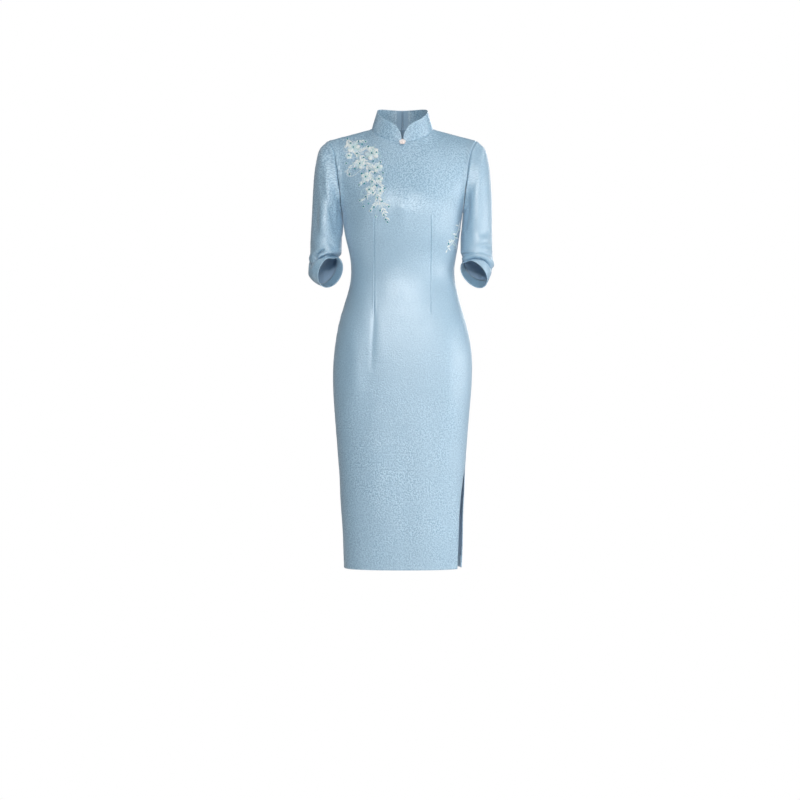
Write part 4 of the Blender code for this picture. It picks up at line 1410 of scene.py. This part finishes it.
class Needlework:
    """Collects stitched shapes laid on the cloth into one mesh."""

    def __init__(self):
        self.verts, self.faces, self.uvs, self.mats = [], [], [], []

    def lay(self, x, z, lift):
        hit, n, _, _ = CLOTH.ray_cast(Vector((x * MM, -0.5, z * MM)), Vector((0, 1, 0)))
        if hit is None:
            hit, n, _, _ = CLOTH.find_nearest(Vector((x * MM, -0.1, z * MM)))
        if n.y > 0:
            n = -n
        return hit + n * (lift * MM)

    def add(self, points, faces, uvs, mat):
        base = len(self.verts)
        self.verts += [tuple(p) for p in points]
        self.faces += [[base + i for i in f] for f in faces]
        self.uvs += uvs
        self.mats += [mat] * len(faces)

    def petal(self, x, z, angle, length, width, mat, bend=0.0, high=0.85, tip=0.6, steps=7, notch=0.0):
        """A padded satin-stitch shape from (x, z) along angle (0 = +x, up = 90)."""
        n, m = steps, 4
        a = math.radians(angle)
        top, low, uv = [], [], []
        for i in range(n + 1):
            u = i / n
            turn = a + bend * (u - 0.5)
            cx = x + length * u * math.cos(a + bend * u * 0.5)
            cz = z + length * u * math.sin(a + bend * u * 0.5)
            half = 0.5 * width * math.sin(math.pi * min(u ** tip, 1.0)) if 0 < u < 1 else 0.0
            half = max(half, 0.10 * width if u == 0 else 0.04 * width)
            for j in range(m + 1):
                v = -1 + 2 * j / m
                back = notch * length * (1 - abs(v)) * max(0.0, u - 0.75) * -1.2
                px = cx - math.sin(turn) * half * v + back * math.cos(turn)
                pz = cz + math.cos(turn) * half * v + back * math.sin(turn)
                rise = high * (1 - v * v) ** 0.6 * math.sin(math.pi * min(max(u, 0.06), 0.94)) ** 0.4
                edge = j in (0, m) or i in (0, n)
                top.append((px, pz, 0.02 if edge else 0.25 + rise))
                low.append((px, pz, 0.02 if edge else -0.22))
                uv.append(((u * length + 0.25 * v * width) * MM, v * half * MM))
        pts = [self.lay(*p) for p in top]
        index = {}
        for i in range(n + 1):
            for j in range(m + 1):
                k = i * (m + 1) + j
                if j in (0, m) or i in (0, n):
                    index[k] = k
                else:
                    index[k] = len(pts)
                    pts.append(self.lay(*low[k]))
        faces, uvs = [], []
        for i in range(n):
            for j in range(m):
                q = [i * (m + 1) + j, i * (m + 1) + j + 1, (i + 1) * (m + 1) + j + 1, (i + 1) * (m + 1) + j]
                faces.append(q)
                uvs += [uv[k] for k in q]
                faces.append([index[k] for k in q[::-1]])
                uvs += [uv[k] for k in q[::-1]]
        self.add(pts, faces, uvs, mat)

    def stem(self, line, thick, mat, step=0.55, sides=6):
        """Rope stitch: a round thread that swells at each stitch."""
        line = [np.array(p, float) for p in line]
        t = np.linspace(0, 1, len(line))
        fine = hermite(np.array(line), t, np.linspace(0, 1, 240))
        run = np.concatenate([[0], np.cumsum(np.linalg.norm(np.diff(fine, axis=0), axis=1))])
        count = max(int(run[-1] / step), 4)
        at = np.linspace(0, run[-1], count + 1)
        path = np.stack([np.interp(at, run, fine[:, k]) for k in (0, 1)], axis=1)
        pts = [self.lay(p[0], p[1], 0.30) for p in path]
        ring, faces, uvs = [], [], []
        for i, p in enumerate(pts):
            a, b = pts[max(i - 1, 0)], pts[min(i + 1, count)]
            d = (b - a).normalized()
            side = d.cross(Vector((0, -1, 0))).normalized()
            up = side.cross(d)
            share = min(1.0, (i + 0.6) / 3.0, (count - i + 0.6) / 3.0)
            r = thick * share * (1 + 0.28 * math.sin(at[i] / 1.5 * 2 * math.pi)) * MM
            for k in range(sides):
                w = 2 * math.pi * k / sides
                ring.append(p + side * (r * math.cos(w)) + up * (r * math.sin(w)))
        for i in range(count):
            for k in range(sides):
                q = [i * sides + k, i * sides + (k + 1) % sides, (i + 1) * sides + (k + 1) % sides, (i + 1) * sides + k]
                faces.append(q)
                uvs += [((at[i] + 0.3 * k) * MM, k * 0.4 * MM), ((at[i] + 0.3 * k) * MM, (k + 1) * 0.4 * MM),
                        ((at[i + 1] + 0.3 * k) * MM, (k + 1) * 0.4 * MM), ((at[i + 1] + 0.3 * k) * MM, k * 0.4 * MM)]
        for start, order in ((0, range(sides - 1, -1, -1)), (count * sides, range(sides))):
            faces.append([start + k for k in order])
            uvs += [(0, 0)] * sides
        self.add(ring, faces, uvs, mat)

    def bead(self, x, z, size, mat, lift=0.75):
        made = bmesh.new()
        bmesh.ops.create_icosphere(made, subdivisions=2, radius=size / 2 * MM)
        c = self.lay(x, z, lift + 0.2)
        n = (self.lay(x, z, 3) - self.lay(x, z, 0)).normalized()
        turn = n.to_track_quat("Z", "Y").to_matrix()
        pts = [c + turn @ Vector((v.co.x, v.co.y, v.co.z * 0.78)) for v in made.verts]
        faces = [[v.index for v in f.verts] for f in made.faces]
        made.free()
        self.add(pts, faces, [(0, 0)] * (3 * len(faces)), mat)

    def blossom(self, x, z, size, mats, petals=5, turn=0.0, heart=True):
        """Round notched petals in two layers of thread, with a knotted heart."""
        for k in range(petals):
            a = turn + 360 / petals * k + rng.uniform(-5, 5)
            ra = math.radians(a)
            self.petal(x + 0.08 * size * math.cos(ra), z + 0.08 * size * math.sin(ra), a, size * 0.46,
                       size * 0.40, mats[k % len(mats)], bend=rng.uniform(-0.15, 0.15), tip=1.25, notch=0.25)
            self.petal(x + 0.08 * size * math.cos(ra), z + 0.08 * size * math.sin(ra), a, size * 0.24,
                       size * 0.10, 1 if mats[0] == 0 else 0, high=1.2, tip=0.8, steps=5)
            for lean in (-17, 17):
                self.petal(x + 0.16 * size * math.cos(ra), z + 0.16 * size * math.sin(ra), a + lean, size * 0.28,
                           size * 0.045, 1, high=1.15, tip=0.8, steps=5)
        if heart:
            self.bead(x, z, 4.0, 3, 1.2)
            for k in range(6):
                a = math.radians(60 * k + turn)
                self.bead(x + 2.3 * math.cos(a), z + 2.3 * math.sin(a), 1.0, 0, 1.0)

    def sprig(self, x, z, size=2.9, arms=4, mat=0, turn=45.0):
        """A bead in a ring of short stitches."""
        for k in range(arms):
            a = turn + 360 / arms * k + rng.uniform(-8, 8)
            ra = math.radians(a)
            self.petal(x + 1.2 * math.cos(ra), z + 1.2 * math.sin(ra), a, size, size * 0.55, mat,
                       high=0.5, tip=1.0, steps=4)
        self.bead(x, z, 4.0, 3, 0.7)

    def finish(self, name, mats):
        mesh = bpy.data.meshes.new(name)
        mesh.from_pydata(self.verts, [], self.faces)
        layer = mesh.uv_layers.new(name="cloth")
        layer.data.foreach_set("uv", np.array(self.uvs, float).reshape(-1))
        for m in mats:
            mesh.materials.append(m)
        mesh.polygons.foreach_set("material_index", self.mats)
        mesh.update()
        mesh.shade_smooth()
        obj = bpy.data.objects.new(name, mesh)
        bpy.context.scene.collection.objects.link(obj)
        return obj


THREADS = [WHITE_THREAD, MINT_THREAD, PALE_THREAD, BEAD]
spray = Needlework()

# stems (x, z): the main one falls from the shoulder to under the bust
STEMS = (
    ((-128, -24), (-120, -44), (-100, -60), (-84, -84), (-72, -108), (-66, -134), (-58, -162), (-46, -190), (-36, -216)),
    ((-120, -44), (-110, -34), (-96, -30), (-84, -33)),
    ((-104, -57), (-92, -50), (-80, -46), (-66, -51), (-59, -62)),
    ((-88, -78), (-104, -84), (-118, -92), (-128, -106)),
    ((-78, -95), (-62, -90), (-50, -84)),
    ((-70, -116), (-86, -124), (-98, -136)),
    ((-67, -130), (-54, -132), (-46, -140), (-45, -150)),
    ((-61, -154), (-76, -160), (-88, -170), (-96, -172)),
    ((-53, -175), (-66, -184), (-72, -196)),
    ((-50, -182), (-40, -180), (-31, -186)),
)
TENDRILS = (
    ((-124, -34), (-132, -42), (-134, -52), (-128, -57), (-124, -52), (-127, -48)),
    ((-96, -66), (-112, -72), (-124, -72), (-130, -66), (-126, -61), (-121, -64)),
    ((-80, -90), (-98, -104), (-112, -114), (-124, -114), (-127, -108), (-122, -106)),
    ((-71, -110), (-60, -108), (-50, -112), (-47, -120), (-53, -123), (-56, -118)),
    ((-66, -138), (-80, -142), (-92, -150), (-94, -158), (-87, -159)),
    ((-60, -158), (-48, -158), (-40, -164), (-40, -171), (-46, -171)),
    ((-48, -186), (-58, -196), (-60, -206), (-54, -208)),
    ((-84, -84), (-70, -76), (-56, -76), (-49, -70), (-53, -65)),
)
# fronds: every stem carries pairs of leaves (gap, leaf length, leaf width)
FRONDS = ((7.0, 15.0, 5.2), (6.5, 9.0, 3.6), (6.5, 9.5, 3.8), (6.0, 11.0, 4.0), (6.5, 8.5, 3.4),
          (6.0, 9.0, 3.4), (6.0, 8.0, 3.2), (6.0, 8.5, 3.2), (5.5, 7.5, 2.8), (5.5, 7.5, 2.8))
# blossoms (x, z, size, turn)
BLOSSOMS = (
    (-112, -46, 29, 10), (-70, -62, 33, 40), (-97, -86, 25, 65), (-56, -97, 22, 25),
    (-83, -118, 23, 80), (-53, -124, 18, 5), (-75, -148, 17, 33), (-50, -152, 15, 60),
    (-122, -66, 15, 20),
)
# beads in short stitches (x, z), and single beads sewn along the stems
SPRIGS = (
    (-126, -24), (-84, -33), (-59, -60), (-128, -84), (-50, -84), (-120, -110), (-98, -136),
    (-44, -110), (-40, -146), (-96, -172), (-72, -196), (-31, -188), (-60, -210), (-88, -186), (-34, -222),
)
BEADS = (
    (-118, -36), (-100, -32), (-92, -40), (-78, -46), (-104, -62), (-88, -72), (-84, -92), (-108, -98),
    (-66, -82), (-74, -104), (-92, -110), (-62, -110), (-68, -130), (-86, -134), (-58, -140), (-66, -156),
    (-82, -164), (-56, -168), (-46, -176), (-50, -196), (-42, -206), (-38, -216), (-76, -180), (-64, -188),
)
for line in STEMS:
    spray.stem(line, 0.62, 0)
for line in TENDRILS:
    spray.stem(line, 0.42, 0 if len(line) > 5 else 1)
for line, (gap, length, width) in zip(STEMS, FRONDS):
    pts = np.array(line, float)
    seg = np.linalg.norm(np.diff(pts, axis=0), axis=1)
    run = np.concatenate([[0], np.cumsum(seg)])
    at, k = gap * 0.5, 0
    while at < run[-1]:
        p = [np.interp(at, run, pts[:, i]) for i in (0, 1)]
        q = [np.interp(min(at + 2, run[-1]), run, pts[:, i]) - np.interp(at - 2, run, pts[:, i]) for i in (0, 1)]
        way = math.degrees(math.atan2(q[1], q[0]))
        fade = 1 - 0.35 * at / run[-1]
        for hand in (-1, 1):
            grown = fade * rng.uniform(0.75, 1.2)
            spray.petal(p[0], p[1], way + hand * rng.uniform(34, 62), length * grown, width * grown,
                        rng.choices((0, 1, 2), (6, 2, 2))[0], bend=-hand * rng.uniform(0.2, 0.7),
                        high=0.7, tip=rng.uniform(0.75, 1.0))
        at += gap * rng.uniform(0.85, 1.15)
        k += 1
for k, (x, z, size, turn) in enumerate(BLOSSOMS):
    for j in range(5):          # leaves that show between the petals
        spray.petal(x, z, turn + 36 + 72 * j + rng.uniform(-10, 10), size * 0.62, size * 0.15,
                    1 + j % 2, bend=rng.uniform(-0.4, 0.4), high=0.5, tip=0.8)
    spray.blossom(x, z, size, (0, 0, 2) if k % 3 else (0, 2, 0), turn=turn)
for k, (x, z) in enumerate(SPRIGS):
    spray.sprig(x, z, turn=rng.uniform(0, 90), arms=4 + k % 2)
for x, z in BEADS:
    spray.bead(x, z, 3.9, 3, 1.6)
for k in range(110):         # seed stitches scattered between the stems
    t = rng.random()
    line = STEMS[rng.randrange(len(STEMS))]
    i = min(int(t * (len(line) - 1)), len(line) - 2)
    x, z = line[i][0] + rng.uniform(-12, 12), line[i][1] + rng.uniform(-9, 9)
    spray.petal(x, z, rng.uniform(0, 360), 4.2, 1.4, rng.choice((0, 0, 2)), high=0.4, steps=4)
breast_spray = spray.finish("breast_embroidery", THREADS)

twig = Needlework()
twig.stem(((130, -218), (128, -232), (122, -246), (117, -260), (108, -272), (102, -282)), 0.6, 0)
twig.stem(((124, -240), (116, -240), (111, -246), (114, -250)), 0.4, 1)
twig.stem(((116, -262), (122, -268), (122, -276), (117, -277)), 0.4, 0)
for x, z, a, length, width, m, bend in (
    (129, -226, 160, 9, 3.4, 0, 0.4), (127, -236, 30, 8, 3.2, 1, 0.4), (123, -244, 200, 10, 3.8, 0, -0.4),
    (120, -252, 340, 9, 3.4, 0, 0.4), (117, -260, 190, 10, 3.6, 0, 0.4), (113, -266, 320, 10, 3.6, 1, 0.4),
    (108, -272, 200, 9, 3.4, 0, 0.4), (105, -277, 300, 8, 3.0, 0, 0.3), (102, -282, 236, 8, 2.8, 0, 0.2),
):
    twig.petal(x, z, a, length, width, m, bend=bend, high=0.7, tip=0.85)
twig.blossom(110, -262, 11, (0, 2, 0), turn=20, heart=False)
for x, z in ((121, -250), (104, -268)):
    twig.sprig(x, z, turn=30)
waist_spray = twig.finish("waist_embroidery", THREADS)
for piece in (breast_spray, waist_spray):
    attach(piece, "dress")

# --------------------------------------------------------- camera and light
cam = bpy.data.objects.new("camera", bpy.data.cameras.new("camera"))
bpy.context.scene.collection.objects.link(cam)
cam.location = (-0.00575, -5.5, -0.6233)
cam.rotation_euler = (math.pi / 2, 0, 0)
cam.data.sensor_width = 36.0
cam.data.lens = 36.0 * 5.5 / 1.84
cam.data.clip_end = 100
bpy.context.scene.camera = cam

FLOOR_Z = -1.545
bpy.ops.mesh.primitive_circle_add(vertices=96, radius=40, fill_type="NGON", location=(0, 0, FLOOR_Z))
floor = bpy.context.object
floor.name = "floor"
ground = bpy.data.materials.new("floor")
tree, bsdf = nodes_of(ground)
bsdf.inputs["Base Color"].default_value = (0.9, 0.9, 0.9, 1)
bsdf.inputs["Roughness"].default_value = 0.9
bsdf.inputs["Specular IOR Level"].default_value = 0.1
glow = tree.nodes.new("ShaderNodeEmission")
glow.inputs[0].default_value = (1, 1, 1, 1)
glow.inputs[1].default_value = 1.0
eye = tree.nodes.new("ShaderNodeLightPath")
both = tree.nodes.new("ShaderNodeMixShader")
tree.links.new(eye.outputs["Is Camera Ray"], both.inputs[0])
tree.links.new(bsdf.outputs[0], both.inputs[1])
tree.links.new(glow.outputs[0], both.inputs[2])
tree.links.new(both.outputs[0], tree.nodes["Material Output"].inputs[0])
floor.data.materials.append(ground)


def softbox(name, at, aim, size, power, colour=(1, 1, 1)):
    data = bpy.data.lights.new(name, "AREA")
    data.shape = "RECTANGLE"
    data.size, data.size_y = size
    data.energy = power
    data.color = colour
    obj = bpy.data.objects.new(name, data)
    bpy.context.scene.collection.objects.link(obj)
    obj.location = at
    obj.rotation_mode = "QUATERNION"
    obj.rotation_quaternion = (Vector(aim) - Vector(at)).to_track_quat("-Z", "Y")
    return obj


def around(angle, z, distance=3.6):
    """A place on a circle round the dress, from the front towards +X."""
    return (distance * math.sin(math.radians(angle)), -distance * math.cos(math.radians(angle)), z)


softbox("key", around(86, -0.3), (0, 0, -0.5), (1.3, 1.1), 37)
softbox("key_front", around(58, -0.3), (0, 0, -0.5), (1.3, 1.1), 10)
softbox("high_front", around(0, 0.65), (0, 0, -0.2), (1.4, 0.38), 72)
softbox("low_front", around(26, -1.2), (0, 0, -0.8), (1.3, 1.0), 18)
softbox("low_left", around(-45, -1.3), (0, 0, -0.8), (1.2, 1.0), 9)
softbox("high_right", (2.5, -0.9, 1.9), (0.1, 0, -0.2), (1.4, 1.1), 18)
softbox("high_left", (-2.7, -0.5, 1.9), (-0.15, 0, -0.1), (1.2, 1.0), 8)
softbox("rim_left", (-2.4, 0.8, 2.0), (-0.17, 0, -0.12), (0.8, 0.6), 6)
softbox("rim_right", (2.4, 0.8, 2.0), (0.17, 0, -0.12), (0.8, 0.6), 12)
softbox("top", (0, -0.9, 2.2), (0, 0, -0.3), (1.4, 1.0), 10)
softbox("top_back", (0, 0.4, 2.4), (0, 0, -0.3), (1.6, 0.8), 2)
softbox("back", (0.9, 3.4, 0.6), (0, 0, -0.5), (2.0, 1.6), 60)

world = bpy.data.worlds.new("studio")
bpy.context.scene.world = world
world.use_nodes = True
wt = world.node_tree
bg = wt.nodes["Background"]
bg.inputs[0].default_value = (0.93, 0.96, 1, 1)
bg.inputs[1].default_value = 0.03
seen = wt.nodes.new("ShaderNodeBackground")
seen.inputs[0].default_value = (1, 1, 1, 1)
seen.inputs[1].default_value = 1.0
mix = wt.nodes.new("ShaderNodeMixShader")
path = wt.nodes.new("ShaderNodeLightPath")
wt.links.new(path.outputs["Is Camera Ray"], mix.inputs[0])
wt.links.new(bg.outputs[0], mix.inputs[1])
wt.links.new(seen.outputs[0], mix.inputs[2])
wt.links.new(mix.outputs[0], wt.nodes["World Output"].inputs[0])

bpy.context.scene.view_settings.view_transform = "Standard"
bpy.context.scene.view_settings.look = "None"


def area_of(obj):
    dg = bpy.context.evaluated_depsgraph_get()
    e = obj.evaluated_get(dg)
    m = e.to_mesh()
    a = sum(p.area for p in m.polygons)
    e.to_mesh_clear()
    return a


for o in [front, *backs, *sleeves, *[c[0] for c in collars]]:
    print("AREA", o.name, round(area_of(o) / 2, 4), len(o.data.polygons))
